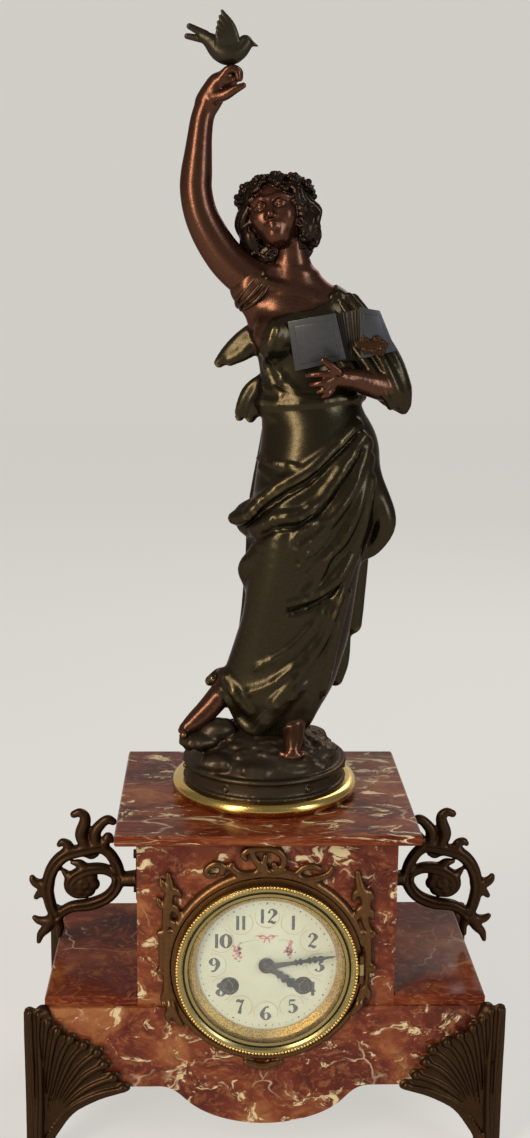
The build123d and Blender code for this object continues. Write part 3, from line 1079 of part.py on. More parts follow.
cock_end = BACK_PLATE_REAR + COCK_DEPTH
cock_low = DIAL_HEIGHT + COCK_BOTTOM
cock_high = DIAL_HEIGHT + COCK_TOP
cock = block(-COCK_WIDTH / 2, COCK_WIDTH / 2, BACK_PLATE_REAR, cock_end, cock_low, cock_high)
cock &= bar(PLATE_RADIUS, 0, 0, BACK_PLATE_REAR, cock_end)
for side in (1, -1):
    near = ROD_Y + side * CHEEK_GAP / 2
    far = near + side * CHEEK_THICK
    cock += block(-CHEEK_WIDTH / 2, CHEEK_WIDTH / 2, min(near, far), max(near, far),
                  cock_low - CHEEK_DROP, cock_high)
cock += bar(COCK_PIN, 0, PALLET_HEIGHT, ROD_Y - CHEEK_GAP / 2, ROD_Y + CHEEK_GAP / 2)
cock += block(-LUG_WIDTH / 2, LUG_WIDTH / 2, cock_end - LUG_THICK, cock_end,
              cock_high - EDGE_BEVEL, cock_high + LUG_HEIGHT)
cock -= bar(REGULATOR_RADIUS + RUNNING, 0, REGULATOR_HEIGHT, BACK_PLATE_REAR, cock_end + OVERRUN)
save("suspension_cock", cock)
save("regulator_arbor", bar(REGULATOR_RADIUS, 0, REGULATOR_HEIGHT, DIAL_FRONT + END_SHAKE, cock_end))

# Bell, hammer and plates
bell_outer = [(BELL_RADIUS * r, BELL_FRONT + BELL_RADIUS * d) for r, d in BELL_PROFILE_SHARES]
inner_scale = (BELL_RADIUS - BELL_WALL) / BELL_RADIUS
bell_inner = [(r * inner_scale, BELL_FRONT + (y - BELL_FRONT) * inner_scale) for r, y in bell_outer]
bell_end = bell_outer[-1][1]
bell_seat = bell_inner[-1][1]
bell = spun(bell_outer + list(reversed(bell_inner)), *BELL_PLACE)
bell -= bar(BELL_POST / 2 + SNUG, BELL_PLACE[0], BELL_PLACE[1], BELL_FRONT, bell_end + OVERRUN)
bell_nut = bar(BELL_NUT, BELL_PLACE[0], BELL_PLACE[1], bell_end, bell_end + BELL_NUT_THICK)
bell_nut -= bar(BELL_POST / 2 + SNUG, *BELL_PLACE, BELL_FRONT, bell_end + BELL_NUT_THICK + OVERRUN)
save("bell", bell, bell_nut)

head_place = polar(HAMMER_REACH, HAMMER_ANGLE, BELL_PLACE)
arm_front = BACK_PLATE_REAR + HAMMER_ARM_GAP
arm_rear = arm_front + HAMMER_ARM_THICK
arm_line = Line(HAMMER_PLACE, head_place)
arm_sketch = SlotOverall(arm_line.length + HAMMER_ARM_WIDTH, HAMMER_ARM_WIDTH)
arm_middle = arm_line.center()
arm_turn = math.degrees(math.atan2(head_place[1] - HAMMER_PLACE[1], head_place[0] - HAMMER_PLACE[0]))
arm_height = DIAL_HEIGHT + arm_middle.Y
hammer = cut_out(Rot(0, 0, arm_turn) * arm_sketch, arm_front, arm_rear, arm_middle.X, arm_height)
hammer += arbor(HAMMER_PLACE, ARBOR, ARBOR_PIVOT)
hammer += bar(ARBOR_PIVOT, HAMMER_PLACE[0], HAMMER_PLACE[1], BACK_PLATE_REAR, arm_front)
hammer += bar(HAMMER_HUB, HAMMER_PLACE[0], HAMMER_PLACE[1], arm_front, arm_rear)
head_y = BELL_FRONT + HAMMER_HEAD
hammer += bar(HAMMER_STEM, head_place[0], head_place[1], arm_front, head_y)
hammer += Pos(head_place[0], head_y, DIAL_HEIGHT + head_place[1]) * Sphere(HAMMER_HEAD)
save("hammer", hammer)

front_plate = bar(PLATE_RADIUS, 0, 0, PLATE_FRONT, PLATE_REAR)
back_plate = bar(PLATE_RADIUS, 0, 0, BACK_PLATE_FRONT, BACK_PLATE_REAR)
for x, z in PILLARS:
    front_plate += bar(PILLAR_RADIUS, x, z, PLATE_REAR, BACK_PLATE_FRONT)
    front_plate += bar(PILLAR_TENON, x, z, BACK_PLATE_FRONT, BACK_PLATE_REAR)
    back_plate -= bar(PILLAR_TENON + RUNNING, x, z, PLATE_REAR, ROD_Y)
slow_places = (second, strike_second, pin_place, pallet, HAMMER_PLACE)
pivots = [(place, ARBOR_PIVOT, ARBOR_PIVOT) for place in slow_places]
pivots += [(place, FAST_PIVOT, FAST_PIVOT) for place in (third, escape, warning, fly_place)]
pivots += [(place, BARREL_ARBOR, BARREL_PIVOT) for place in (going, strike)]
pivots += [(centre, CENTRE_ARBOR, ARBOR_PIVOT)]
for (x, z), front_radius, back_radius in pivots:
    front_plate -= bar(front_radius + RUNNING, x, z, PLATE_FRONT - OVERRUN, PLATE_REAR + END_SHAKE)
    back_plate -= bar(back_radius + RUNNING, x, z, PLATE_REAR, ROD_Y)
front_plate += bar(MINUTE_STUD, minute_place[0], minute_place[1], PLATE_FRONT - MINUTE_STUD_END, PLATE_FRONT)
back_plate += bar(BELL_POST, BELL_PLACE[0], BELL_PLACE[1], BACK_PLATE_REAR, bell_seat - SNUG)
back_plate += bar(BELL_POST / 2, BELL_PLACE[0], BELL_PLACE[1], bell_seat - SNUG, bell_end + BELL_NUT_THICK)
save("front_plate", front_plate)
save("back_plate", back_plate)
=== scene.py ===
import math

import bpy
import numpy as np
from mathutils import Matrix, Vector


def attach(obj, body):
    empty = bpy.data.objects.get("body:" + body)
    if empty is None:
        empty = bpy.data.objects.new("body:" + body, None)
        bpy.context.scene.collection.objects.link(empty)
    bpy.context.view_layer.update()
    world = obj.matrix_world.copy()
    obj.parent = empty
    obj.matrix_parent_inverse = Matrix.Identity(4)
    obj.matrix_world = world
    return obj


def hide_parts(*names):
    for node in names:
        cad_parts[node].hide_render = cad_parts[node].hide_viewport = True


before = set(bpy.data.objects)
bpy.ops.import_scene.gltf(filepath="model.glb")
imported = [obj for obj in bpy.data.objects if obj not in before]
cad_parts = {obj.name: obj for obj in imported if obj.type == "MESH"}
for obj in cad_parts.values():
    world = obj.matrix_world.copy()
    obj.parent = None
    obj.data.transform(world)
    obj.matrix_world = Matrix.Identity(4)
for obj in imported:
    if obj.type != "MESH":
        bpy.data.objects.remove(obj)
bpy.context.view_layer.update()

# Lengths below are in millimetres, in the frame of the CAD part
MM = 0.001
FAR = 1.0e3

# The camera of the photo
PHOTO_WIDTH = 530
PHOTO_HEIGHT = 1138
FOCUS = 1406.395
EYE = np.array((-33.666, -871.459, 546.313))
YAW = 0.037
PITCH = 0.205
ROLL = 0.012
SENSOR = 36.0


def camera_axes():
    ahead = np.array((math.sin(YAW) * math.cos(PITCH), math.cos(YAW) * math.cos(PITCH), -math.sin(PITCH)))
    level = np.array((math.cos(YAW), -math.sin(YAW), 0.0))
    upright = np.cross(level, ahead)
    across = level * math.cos(ROLL) + upright * math.sin(ROLL)
    return ahead, across, upright * math.cos(ROLL) - level * math.sin(ROLL)


AHEAD, ACROSS, UPWARD = camera_axes()


def sight_lines(pixels):
    """Directions from the camera through pixels of the photo."""
    pixels = np.atleast_2d(np.asarray(pixels, float))
    right = (pixels[:, 0] - PHOTO_WIDTH / 2) / FOCUS
    down = (pixels[:, 1] - PHOTO_HEIGHT / 2) / FOCUS
    return AHEAD + np.outer(right, ACROSS) - np.outer(down, UPWARD)


def seen_at(pixels, depth):
    """Points seen at those pixels of the photo, on the upright plane Y = depth."""
    lines = sight_lines(pixels)
    return EYE + lines * ((depth - EYE[1]) / lines[:, 1])[:, None]


# Curves and sculpted forms
ROUND = (1.0, 1.0, 1.0)
# A shape's distances are worked out this many grid steps beyond it
SHAPE_MARGIN = 4


def spline(rows, per_span=5):
    """A smooth curve through the rows, whose columns may hold places and radii."""
    rows = np.asarray(rows, float)
    ends = np.vstack((2 * rows[0] - rows[1], rows, 2 * rows[-1] - rows[-2]))
    share = np.linspace(0.0, 1.0, per_span, endpoint=False)[:, None]
    spans = []
    for a, b, c, d in zip(ends, ends[1:], ends[2:], ends[3:]):
        spans.append(b + share * (c - a) / 2 + share**2 * (a - 2.5 * b + 2 * c - d / 2)
                     + share**3 * (1.5 * (b - c) + (d - a) / 2))
    return np.vstack(spans + [rows[-1:]])


def with_radii(points, *radii):
    """Rows of place and radius, with the radii spread evenly along the points."""
    points = np.asarray(points, float)
    along = np.linspace(0.0, 1.0, len(points))
    return np.column_stack((points, np.interp(along, np.linspace(0.0, 1.0, len(radii)), radii)))


def angles(count, start=0.0):
    """Angles of a full turn in equal parts."""
    return [2 * math.pi * i / count + start for i in range(count)]


def between(value, low, high):
    """How far a value lies outside a range, negative within it."""
    return np.maximum(low - value, value - high)


def rod(rows, weights=ROUND):
    """A rounded bar through rows of x, y, z and radius. A weight above one flattens it along that axis."""
    rows = np.asarray(rows, float)
    weights = np.asarray(weights)
    parts = []
    for first, second in zip(rows, rows[1:]):
        reach = max(first[3], second[3])
        low = np.minimum(first[:3], second[:3]) - reach
        high = np.maximum(first[:3], second[:3]) + reach

        def distance(x, y, z, a=first, b=second):
            run = (b[:3] - a[:3]) * weights
            offset = [(c - s) * w for c, s, w in zip((x, y, z), a[:3], weights)]
            share = np.clip(sum(o * r for o, r in zip(offset, run)) / max(run @ run, 1e-9), 0.0, 1.0)
            gap = sum((o - share * r) ** 2 for o, r in zip(offset, run))
            return np.sqrt(gap) - (a[3] + (b[3] - a[3]) * share)

        parts.append((low, high, distance))
    return parts


def egg(centre, radii):
    """An ellipsoid."""
    centre = np.asarray(centre, float)
    radii = np.broadcast_to(np.asarray(radii, float), 3)

    def distance(x, y, z):
        offset = [c - o for c, o in zip((x, y, z), centre)]
        near = np.sqrt(sum((o / r) ** 2 for o, r in zip(offset, radii)))
        slope = np.sqrt(sum((o / r**2) ** 2 for o, r in zip(offset, radii)))
        return near * (near - 1.0) / np.maximum(slope, 1e-6)

    return [(centre - radii, centre + radii, distance)]


def stack(rows):
    """A body of level ellipses: rows of height, middle across, middle in depth, half width, half depth."""
    rows = spline(rows, 4)
    rows = rows[np.argsort(rows[:, 0])]
    low = np.array((min(rows[:, 1] - rows[:, 3]), min(rows[:, 2] - rows[:, 4]), rows[0, 0]))
    high = np.array((max(rows[:, 1] + rows[:, 3]), max(rows[:, 2] + rows[:, 4]), rows[-1, 0]))

    def distance(x, y, z):
        across, depth, wide, deep = (np.interp(z, rows[:, 0], rows[:, i]) for i in range(1, 5))
        out = np.sqrt(((x - across) / wide) ** 2 + ((y - depth) / deep) ** 2) - 1.0
        return np.maximum(out * np.minimum(wide, deep), between(z, rows[0, 0], rows[-1, 0]))

    return [(low, high, distance)]


def smooth_min(a, b, blend):
    if blend == 0.0:
        return np.minimum(a, b)
    near = np.maximum(blend - np.abs(a - b), 0.0) / blend
    return np.minimum(a, b) - near**2 * blend / 4


class Sculpture:
    """Distances to a surface on a grid of cubes, negative inside it."""

    def __init__(self, low, high, step):
        self.low = np.asarray(low, float)
        self.high = np.asarray(high, float)
        self.step = step
        self.count = np.ceil((self.high - self.low) / step).astype(int) + 1
        self.value = np.full(self.count, FAR, np.float32)

    def copy(self):
        made = Sculpture(self.low, self.high, self.step)
        made.value = self.value.copy()
        return made

    def window(self, low, high, margin):
        first = np.clip(np.floor((low - margin - self.low) / self.step).astype(int), 0, self.count - 1)
        last = np.clip(np.ceil((high + margin - self.low) / self.step).astype(int) + 1, 1, self.count)
        return first, last

    def grid(self, first=(0, 0, 0), last=None):
        """Places of the grid's points from one index up to another, or of all."""
        last = self.count if last is None else last
        axes = [self.low[i] + self.step * np.arange(first[i], last[i]) for i in range(3)]
        return np.meshgrid(*axes, indexing="ij", sparse=True)

    def shape(self, parts, blend):
        """The place of a shape in the grid, and its distances there."""
        margin = blend + SHAPE_MARGIN * self.step
        first, last = self.window(np.min([p[0] for p in parts], 0), np.max([p[1] for p in parts], 0), margin)
        near = np.full(np.maximum(last - first, 0), FAR, np.float32)
        for low, high, distance in parts:
            start, end = self.window(low, high, margin)
            if (end > start).all():
                inner = tuple(slice(a, b) for a, b in zip(start - first, end - first))
                near[inner] = np.minimum(near[inner], distance(*self.grid(start, end)))
        return tuple(slice(a, b) for a, b in zip(first, last)), near

    def add(self, parts, blend=0.0):
        place, near = self.shape(parts, blend)
        self.value[place] = smooth_min(self.value[place], near, blend)

    def carve(self, parts, blend=0.0):
        place, near = self.shape(parts, blend)
        self.value[place] = -smooth_min(-self.value[place], near, blend)

    def eggs(self, rows, blend):
        """Ellipsoids, each given by its place and radii."""
        for place, radii in rows:
            self.add(egg(place, radii), blend)

    def bars(self, runs, blend):
        """Straight rounded bars, each a run of rows of x, y, z and radius."""
        for rows in runs:
            self.add(rod(rows), blend)

    def limbs(self, runs, blend, weights=ROUND):
        """Rounded bars that bend smoothly through their rows."""
        for rows in runs:
            self.add(rod(spline(rows), weights), blend)

    def keep(self, *distances):
        """Cuts away what lies outside any of these distances."""
        for distance in distances:
            self.value = np.maximum(self.value, distance)
        self.value = self.value.astype(np.float32)

    def sample(self, points):
        index = np.rint((points - self.low) / self.step).astype(int)
        index = np.clip(index, 0, self.count - 1)
        return self.value[tuple(np.moveaxis(index, -1, 0))]

    def first_inside(self, points):
        """Per line of points, the first one inside, or else the one nearest to the surface."""
        value = self.sample(points)
        hit = np.where((value < 0).any(1), (value < 0).argmax(1), value.argmin(1))
        return points[np.arange(len(points)), hit]

    def front(self, pixels, sink=0.0):
        """Points of the surface seen at pixels of the photo, sunk into it."""
        lines = sight_lines(pixels)
        depths = self.low[1] + self.step / 2 * np.arange(2 * self.count[1])
        points = EYE + lines[:, None] * ((depths - EYE[1]) / lines[:, 1:2])[..., None]
        return self.first_inside(points) + lines * sink

    def back(self, places, sink=0.0):
        """Points of the surface met from behind at places across and up."""
        places = np.asarray(places, float)
        depths = self.low[1] + self.step / 2 * np.arange(2 * self.count[1])[::-1]
        points = np.empty((len(places), len(depths), 3))
        points[..., 0] = places[:, :1]
        points[..., 1] = depths
        points[..., 2] = places[:, 1:]
        return self.first_inside(points) - np.array((0.0, sink, 0.0))

    def skin(self, rounds=2):
        """Vertices and quads of the surface, smoothed a little."""
        inside = self.value < 0
        corners = [np.array((i, j, k)) for i in (0, 1) for j in (0, 1) for k in (0, 1)]
        wide, deep, tall = self.count - 1
        filled = sum(inside[i:i + wide, j:j + deep, k:k + tall].astype(np.int8) for i, j, k in corners)
        crossed = (filled > 0) & (filled < len(corners))
        cells = np.argwhere(crossed)
        number = np.full(crossed.shape, -1, np.int32)
        number[crossed] = np.arange(len(cells))
        total = np.zeros((len(cells), 3))
        hits = np.zeros(len(cells))
        for a in corners:
            for axis in range(3):
                if a[axis] == 0:
                    b = a + np.eye(3, dtype=int)[axis]
                    near = self.value[tuple((cells + a).T)]
                    far = self.value[tuple((cells + b).T)]
                    cut = (near < 0) != (far < 0)
                    share = np.where(cut, near / np.where(cut, near - far, 1.0), 0.0)
                    total += (a + np.outer(share, b - a)) * cut[:, None]
                    hits += cut
        vertices = self.low + self.step * (cells + total / hits[:, None])
        quads = []
        for axis in range(3):
            one, two = np.eye(3, dtype=int)[[(axis + 1) % 3, (axis + 2) % 3]]
            lower = np.moveaxis(inside, axis, 0)[:-1]
            upper = np.moveaxis(inside, axis, 0)[1:]
            edges = np.argwhere(np.moveaxis(lower != upper, 0, axis))
            edges = edges[((edges > 0) | (np.arange(3) == axis)).all(1)]
            edges = edges[(edges < np.array(crossed.shape)).all(1)]
            around = (0 * one, one, one + two, two)
            ring = np.column_stack([number[tuple((edges - step).T)] for step in around])
            outward = inside[tuple(edges.T)]
            quads.append(np.where(outward[:, None], ring, ring[:, ::-1]))
        quads = np.vstack(quads)
        return relaxed(vertices, quads, rounds), quads


def neighbours(count, quads):
    """A function that averages the values of each vertex's neighbours."""
    pairs = np.vstack((quads[:, (0, 1)], quads[:, (1, 2)], quads[:, (2, 3)], quads[:, (3, 0)]))
    start = np.concatenate((pairs[:, 0], pairs[:, 1]))
    end = np.concatenate((pairs[:, 1], pairs[:, 0]))
    degree = np.maximum(np.bincount(start, minlength=count), 1)

    def mean(values):
        total = [np.bincount(start, column[end], count) for column in values.T]
        return np.column_stack(total) / degree[:, None]

    return mean


def relaxed(vertices, quads, rounds):
    """The vertices, each drawn halfway to its neighbours as often as asked."""
    mean = neighbours(len(vertices), quads)
    for _ in range(rounds):
        vertices = (vertices + mean(vertices)) / 2
    return vertices


def relief(vertices, quads, rounds):
    """How far each vertex stands proud of its wider surroundings, in millimetres."""
    corner = vertices[quads]
    across = np.cross(corner[:, 2] - corner[:, 0], corner[:, 3] - corner[:, 1])
    normal = np.zeros_like(vertices)
    for i in range(4):
        for axis in range(3):
            normal[:, axis] += np.bincount(quads[:, i], across[:, axis], len(vertices))
    normal /= np.maximum(np.linalg.norm(normal, axis=1, keepdims=True), 1e-9)
    return ((vertices - relaxed(vertices, quads, rounds)) * normal).sum(1)


def covered(bare, reach, share=1.0):
    """A function that says how far vertices stand off a bare form, fully covered at that reach."""
    return lambda vertices: share * np.clip(bare.sample(vertices) / reach, 0.0, 1.0)


# Shader building blocks

def new_material(name):
    material = bpy.data.materials.new(name)
    material.use_nodes = True
    return material, material.node_tree, material.node_tree.nodes["Principled BSDF"]


def feed(tree, socket, value):
    """Gives a socket another node's output or a value of its own."""
    if isinstance(value, bpy.types.NodeSocket):
        tree.links.new(value, socket)
    else:
        socket.default_value = (*value, 1.0) if socket.type == "RGBA" else value


def shader(tree, kind, settings=None, inputs=(), **sockets):
    """A shader node with inputs in order or by name, with _ for a space in the name."""
    made = tree.nodes.new("ShaderNode" + kind)
    for key, value in (settings or {}).items():
        setattr(made, key, value)
    for i, value in enumerate(inputs):
        feed(tree, made.inputs[i], value)
    for key, value in sockets.items():
        feed(tree, made.inputs[key.replace("_", " ")], value)
    return made


def maths(tree, operation, *inputs):
    return shader(tree, "Math", {"operation": operation}, inputs).outputs[0]


def place_of(tree, stretch=ROUND):
    """Places on the piece in metres, stretched for streaks."""
    place = shader(tree, "TexCoord").outputs["Object"]
    return shader(tree, "Mapping", Vector=place, Scale=stretch).outputs["Vector"]


def mark(tree, name):
    """A value that the piece's vertices carry."""
    return shader(tree, "Attribute", {"attribute_name": name}).outputs["Fac"]


def noise(tree, place, size, detail=4.0, rough=0.55, twist=0.0):
    """Cloudy variation whose patches are about that size in millimetres."""
    return shader(tree, "TexNoise", Vector=place, Scale=1.0 / (size * MM), Detail=detail, Roughness=rough,
                  Distortion=twist).outputs["Fac"]


def ramp(tree, value, *stops):
    """Colours at places along a value."""
    made = shader(tree, "ValToRGB", Fac=value)
    elements = made.color_ramp.elements
    while len(elements) < len(stops):
        elements.new(1.0)
    for element, (position, colour) in zip(elements, stops):
        element.position = position
        element.color = (*colour, 1.0)
    return made.outputs["Color"]


def spread(tree, value, low, high, to_low=0.0, to_high=1.0):
    """A value carried from one range to another."""
    return shader(tree, "MapRange", Value=value, From_Min=low, From_Max=high, To_Min=to_low,
                  To_Max=to_high).outputs["Result"]


# Sockets of a mixing node that take and give colours
MIX_FIRST = 6
MIX_SECOND = 7
MIX_RESULT = 2


def blend_colours(tree, share, first, second):
    made = shader(tree, "Mix", {"data_type": "RGBA"}, (share,))
    feed(tree, made.inputs[MIX_FIRST], first)
    feed(tree, made.inputs[MIX_SECOND], second)
    return made.outputs[MIX_RESULT]


def bump(tree, surface, height, depth, strength):
    """Fine unevenness, its depth in millimetres."""
    made = shader(tree, "Bump", Height=height, Distance=depth * MM, Strength=strength)
    tree.links.new(made.outputs["Normal"], surface.inputs["Normal"])


def finish_surface(tree, surface, colour, rough, **others):
    """Sets the surface's colour and roughness, and other sockets by name with _ for a space."""
    feed(tree, surface.inputs["Base Color"], colour)
    feed(tree, surface.inputs["Roughness"], rough)
    for key, value in others.items():
        feed(tree, surface.inputs[key.replace("_", " ")], value)


# Cast metals. What a patina mirrors at its edges is tinted, since lacquered bronze stays dark there
PATINA_EDGE = (0.36, 0.30, 0.24)
CLOUD_SHARE = 0.9
TONE_RANGE = (-0.65, 1.75)


def worn_tone(tree, clouds):
    """A value that rises from the hollows to what stands proud, unevenly; at its top it brings rubbed wear
    and a painted highlight.
    """
    return spread(tree, maths(tree, "MULTIPLY_ADD", clouds, CLOUD_SHARE, mark(tree, "relief")), *TONE_RANGE)


def patina(name, hollow, body, rubbed_and_highlight, rough, metallic, grain):
    """Cast metal, dark with patina in the hollows, and bright on what stands proud with rubbed wear and a
    painted highlight.
    """
    material, tree, surface = new_material(name)
    place = place_of(tree)
    clouds = noise(tree, place, 22.0)
    speckle = noise(tree, place, 2.2, 6.0, 0.65)
    # The ramp's top tone on proud places is partly rubbed wear and partly a painted highlight
    colour = ramp(tree, worn_tone(tree, clouds), (0.0, hollow), (0.42, body), (0.62, body), (0.95, rubbed_and_highlight))
    colour = blend_colours(tree, spread(tree, speckle, 0.35, 0.75, 0.0, 0.35), colour, hollow)
    finish_surface(tree, surface, colour, spread(tree, speckle, 0.3, 0.8, rough - 0.08, rough + 0.16),
                   Metallic=metallic, Specular_Tint=PATINA_EDGE)
    bump(tree, surface, speckle, grain, strength=0.6)
    return material


def dressed(name, skin, cloth):
    """Two finishes on one casting: bare skin, and cloth where the piece is marked as cloth."""
    material, tree, surface = new_material(name)
    place = place_of(tree)
    clouds = noise(tree, place, 30.0)
    speckle = noise(tree, place, 2.0, 6.0, 0.65)
    tone = worn_tone(tree, clouds)
    # Each ramp runs from patina in the hollows to rubbed wear and a painted highlight on what stands proud
    colours = [ramp(tree, tone, (0.0, hollow), (0.40, body), (0.60, body), (0.95, rubbed_and_highlight))
               for hollow, body, rubbed_and_highlight in (skin, cloth)]
    colour = blend_colours(tree, mark(tree, "cloth"), *colours)
    colour = blend_colours(tree, spread(tree, speckle, 0.4, 0.8, 0.0, 0.3), colour, cloth[0])
    finish_surface(tree, surface, colour, spread(tree, speckle, 0.3, 0.8, 0.20, 0.34), Metallic=0.80,
                   Specular_Tint=PATINA_EDGE)
    bump(tree, surface, speckle, 0.10, strength=0.5)
    return material


def darker(colour, share):
    return tuple(c * share for c in colour)


def metal(name, colour, rough, grain=0.03, tint=0.25):
    """Turned or polished metal with faint clouding and fine scratches."""
    material, tree, surface = new_material(name)
    clouds = noise(tree, place_of(tree), 9.0)
    scratch = noise(tree, place_of(tree, (1.0, 6.0, 1.0)), 0.8, 3.0)
    shade = spread(tree, clouds, 0.35, 0.8, 0.0, tint)
    finish_surface(tree, surface, blend_colours(tree, shade, colour, darker(colour, 0.55)),
                   spread(tree, scratch, 0.3, 0.7, rough - 0.06, rough + 0.10), Metallic=1.0)
    bump(tree, surface, scratch, grain, strength=0.35)
    return material


def stippled(name, colour, rough, size):
    """Gilt metal punched all over with small dots."""
    material, tree, surface = new_material(name)
    dots = shader(tree, "TexVoronoi", Vector=place_of(tree), Scale=1.0 / (size * MM)).outputs["Distance"]
    shade = spread(tree, dots, 0.25, 0.65)
    finish_surface(tree, surface, blend_colours(tree, shade, colour, darker(colour, 0.42)),
                   spread(tree, dots, 0.2, 0.7, rough, rough + 0.2), Metallic=1.0)
    bump(tree, surface, dots, -0.30, strength=0.8)
    return material


# Marble and its colours
MARBLE_ZONES = ((0.32, (0.052, 0.008, 0.004)), (0.45, (0.115, 0.019, 0.008)),
                (0.55, (0.180, 0.042, 0.014)), (0.70, (0.330, 0.130, 0.044)))
MARBLE_DARK = (0.048, 0.007, 0.004)
MARBLE_GRAIN = (0.310, 0.110, 0.042)
MARBLE_VEIN = (0.580, 0.450, 0.280)
MARBLE_CREAM = (0.620, 0.490, 0.280)
MARBLE_BEND = (0.028, 0.028, 0.028)


def marble(name, stretch, cream, shine):
    """Red-brown marble, clouded and mottled, with cream flecks and a few thin pale veins."""
    material, tree, surface = new_material(name)
    place = place_of(tree, stretch)
    wander = shader(tree, "TexNoise", Vector=place, Scale=40.0, Detail=3.0).outputs["Color"]
    bent = shader(tree, "VectorMath", {"operation": "MULTIPLY_ADD"}, (wander, MARBLE_BEND, place)).outputs[0]
    zones = noise(tree, bent, 46.0, 5.0, 0.6, 0.6)
    mottle = noise(tree, bent, 8.0, 6.0, 0.68, 0.4)
    grains = noise(tree, bent, 4.2, 6.0, 0.65)
    flecks = noise(tree, bent, 13.0, 8.0, 0.70, 0.8)
    cracks = shader(tree, "TexVoronoi", {"feature": "DISTANCE_TO_EDGE"}, Vector=bent, Scale=26.0)
    vein = maths(tree, "MULTIPLY", spread(tree, cracks.outputs["Distance"], 0.0, 0.018, 0.8, 0.0),
                 spread(tree, noise(tree, place, 30.0), 0.52, 0.66))
    colour = ramp(tree, zones, *MARBLE_ZONES)
    for share, tint in ((spread(tree, mottle, 0.50, 0.70, 0.0, 0.70), MARBLE_DARK),
                        (spread(tree, grains, 0.50, 0.66, 0.0, 0.60), MARBLE_GRAIN),
                        (vein, MARBLE_VEIN),
                        (spread(tree, flecks, cream, cream + 0.045), MARBLE_CREAM)):
        colour = blend_colours(tree, share, colour, tint)
    rough = spread(tree, mottle, 0.3, 0.8, 0.18, 0.32)
    finish_surface(tree, surface, colour, rough, Specular_IOR_Level=shine)
    bump(tree, surface, mottle, 0.04, strength=0.2)
    return material


# Enamel, print and glass

def glossy(name, colour, second, rough, size):
    """A fired or painted finish with faint mottling."""
    material, tree, surface = new_material(name)
    clouds = noise(tree, place_of(tree), size)
    finish_surface(tree, surface, blend_colours(tree, spread(tree, clouds, 0.35, 0.7), colour, second),
                   spread(tree, clouds, 0.3, 0.7, rough, rough + 0.1), Coat_Weight=0.6, Coat_Roughness=0.06)
    bump(tree, surface, clouds, 0.02, strength=0.3)
    return material


def clear_glass(name):
    """A thin flat glass with faint smears."""
    material, tree, surface = new_material(name)
    smear = noise(tree, place_of(tree), 14.0)
    finish_surface(tree, surface, (0.90, 0.93, 0.92), spread(tree, smear, 0.3, 0.8, 0.02, 0.07),
                   Alpha=spread(tree, smear, 0.3, 0.8, 0.05, 0.10))
    return material


# The part's finishes. Tones of the castings are those of hollows, of the body and of what stands proud
# The proud tone is partly rubbed wear and partly a painted highlight
SKIN_TONES = ((0.020, 0.008, 0.005), (0.100, 0.041, 0.025), (0.230, 0.110, 0.060))
CLOTH_TONES = ((0.006, 0.005, 0.003), (0.040, 0.031, 0.017), (0.380, 0.270, 0.110))
HAIR_TONES = ((0.006, 0.004, 0.003), (0.030, 0.018, 0.012), (0.220, 0.120, 0.055))
BIRD_TONES = ((0.007, 0.006, 0.004), (0.042, 0.035, 0.022), (0.280, 0.200, 0.080))
GROUND_TONES = ((0.008, 0.006, 0.004), (0.062, 0.044, 0.028), (0.280, 0.190, 0.095))
BOOK_TONES = ((0.014, 0.014, 0.015), (0.074, 0.074, 0.078), (0.240, 0.220, 0.190))
# The leaves are darker than the covers, as painted shade of the hollow between the covers
PAGE_TONES_WITH_SHADE = ((0.008, 0.007, 0.005), (0.050, 0.041, 0.030), (0.180, 0.140, 0.090))
MOUNT_TONES = ((0.007, 0.004, 0.003), (0.050, 0.025, 0.011), (0.340, 0.175, 0.068))
SURROUND_TONES = ((0.016, 0.009, 0.005), (0.140, 0.066, 0.026), (0.480, 0.280, 0.100))
figure_metal = dressed("figure_patina", SKIN_TONES, CLOTH_TONES)
head_metal = dressed("head_patina", SKIN_TONES, HAIR_TONES)
bird_metal = patina("bird_patina", *BIRD_TONES, rough=0.36, metallic=0.75, grain=0.10)
ground_metal = patina("ground_patina", *GROUND_TONES, rough=0.36, metallic=0.75, grain=0.12)
book_metal = patina("book_patina", *BOOK_TONES, rough=0.34, metallic=0.70, grain=0.06)
page_metal_with_shade = patina("page_patina_with_shade", *PAGE_TONES_WITH_SHADE, rough=0.40, metallic=0.70, grain=0.06)
bronze = patina("mount_bronze", *MOUNT_TONES, rough=0.36, metallic=0.75, grain=0.10)
surround_bronze = patina("surround_bronze", *SURROUND_TONES, rough=0.30, metallic=0.80, grain=0.08)
gilt = metal("gilt_brass", (0.740, 0.500, 0.170), rough=0.24)
aged_gilt = metal("aged_gilt", (0.400, 0.325, 0.135), rough=0.26, tint=0.55)
sight_gilt = stippled("sight_gilt", (0.860, 0.530, 0.070), rough=0.30, size=0.9)
ring_brass = metal("ring_brass", (0.640, 0.420, 0.120), rough=0.20, tint=0.45)
satin_brass = metal("satin_brass", (0.620, 0.430, 0.170), rough=0.34)
steel = metal("bright_steel", (0.480, 0.480, 0.470), rough=0.32)
dark_steel = metal("dark_steel", (0.030, 0.024, 0.022), rough=0.36)
wall_marble = marble("red_marble", (0.8, 0.8, 1.0), cream=0.575, shine=0.22)
slab_marble = marble("streaked_marble", (0.45, 0.9, 3.0), cream=0.575, shine=0.08)
step_marble = marble("dark_marble", (0.8, 0.8, 2.0), cream=0.660, shine=0.06)
enamel = glossy("cream_enamel", (0.610, 0.635, 0.470), (0.550, 0.565, 0.400), rough=0.10, size=16.0)
ink = glossy("black_print", (0.012, 0.011, 0.012), (0.030, 0.026, 0.024), rough=0.25, size=4.0)
gold_line = metal("gold_print", (0.480, 0.340, 0.140), rough=0.35)
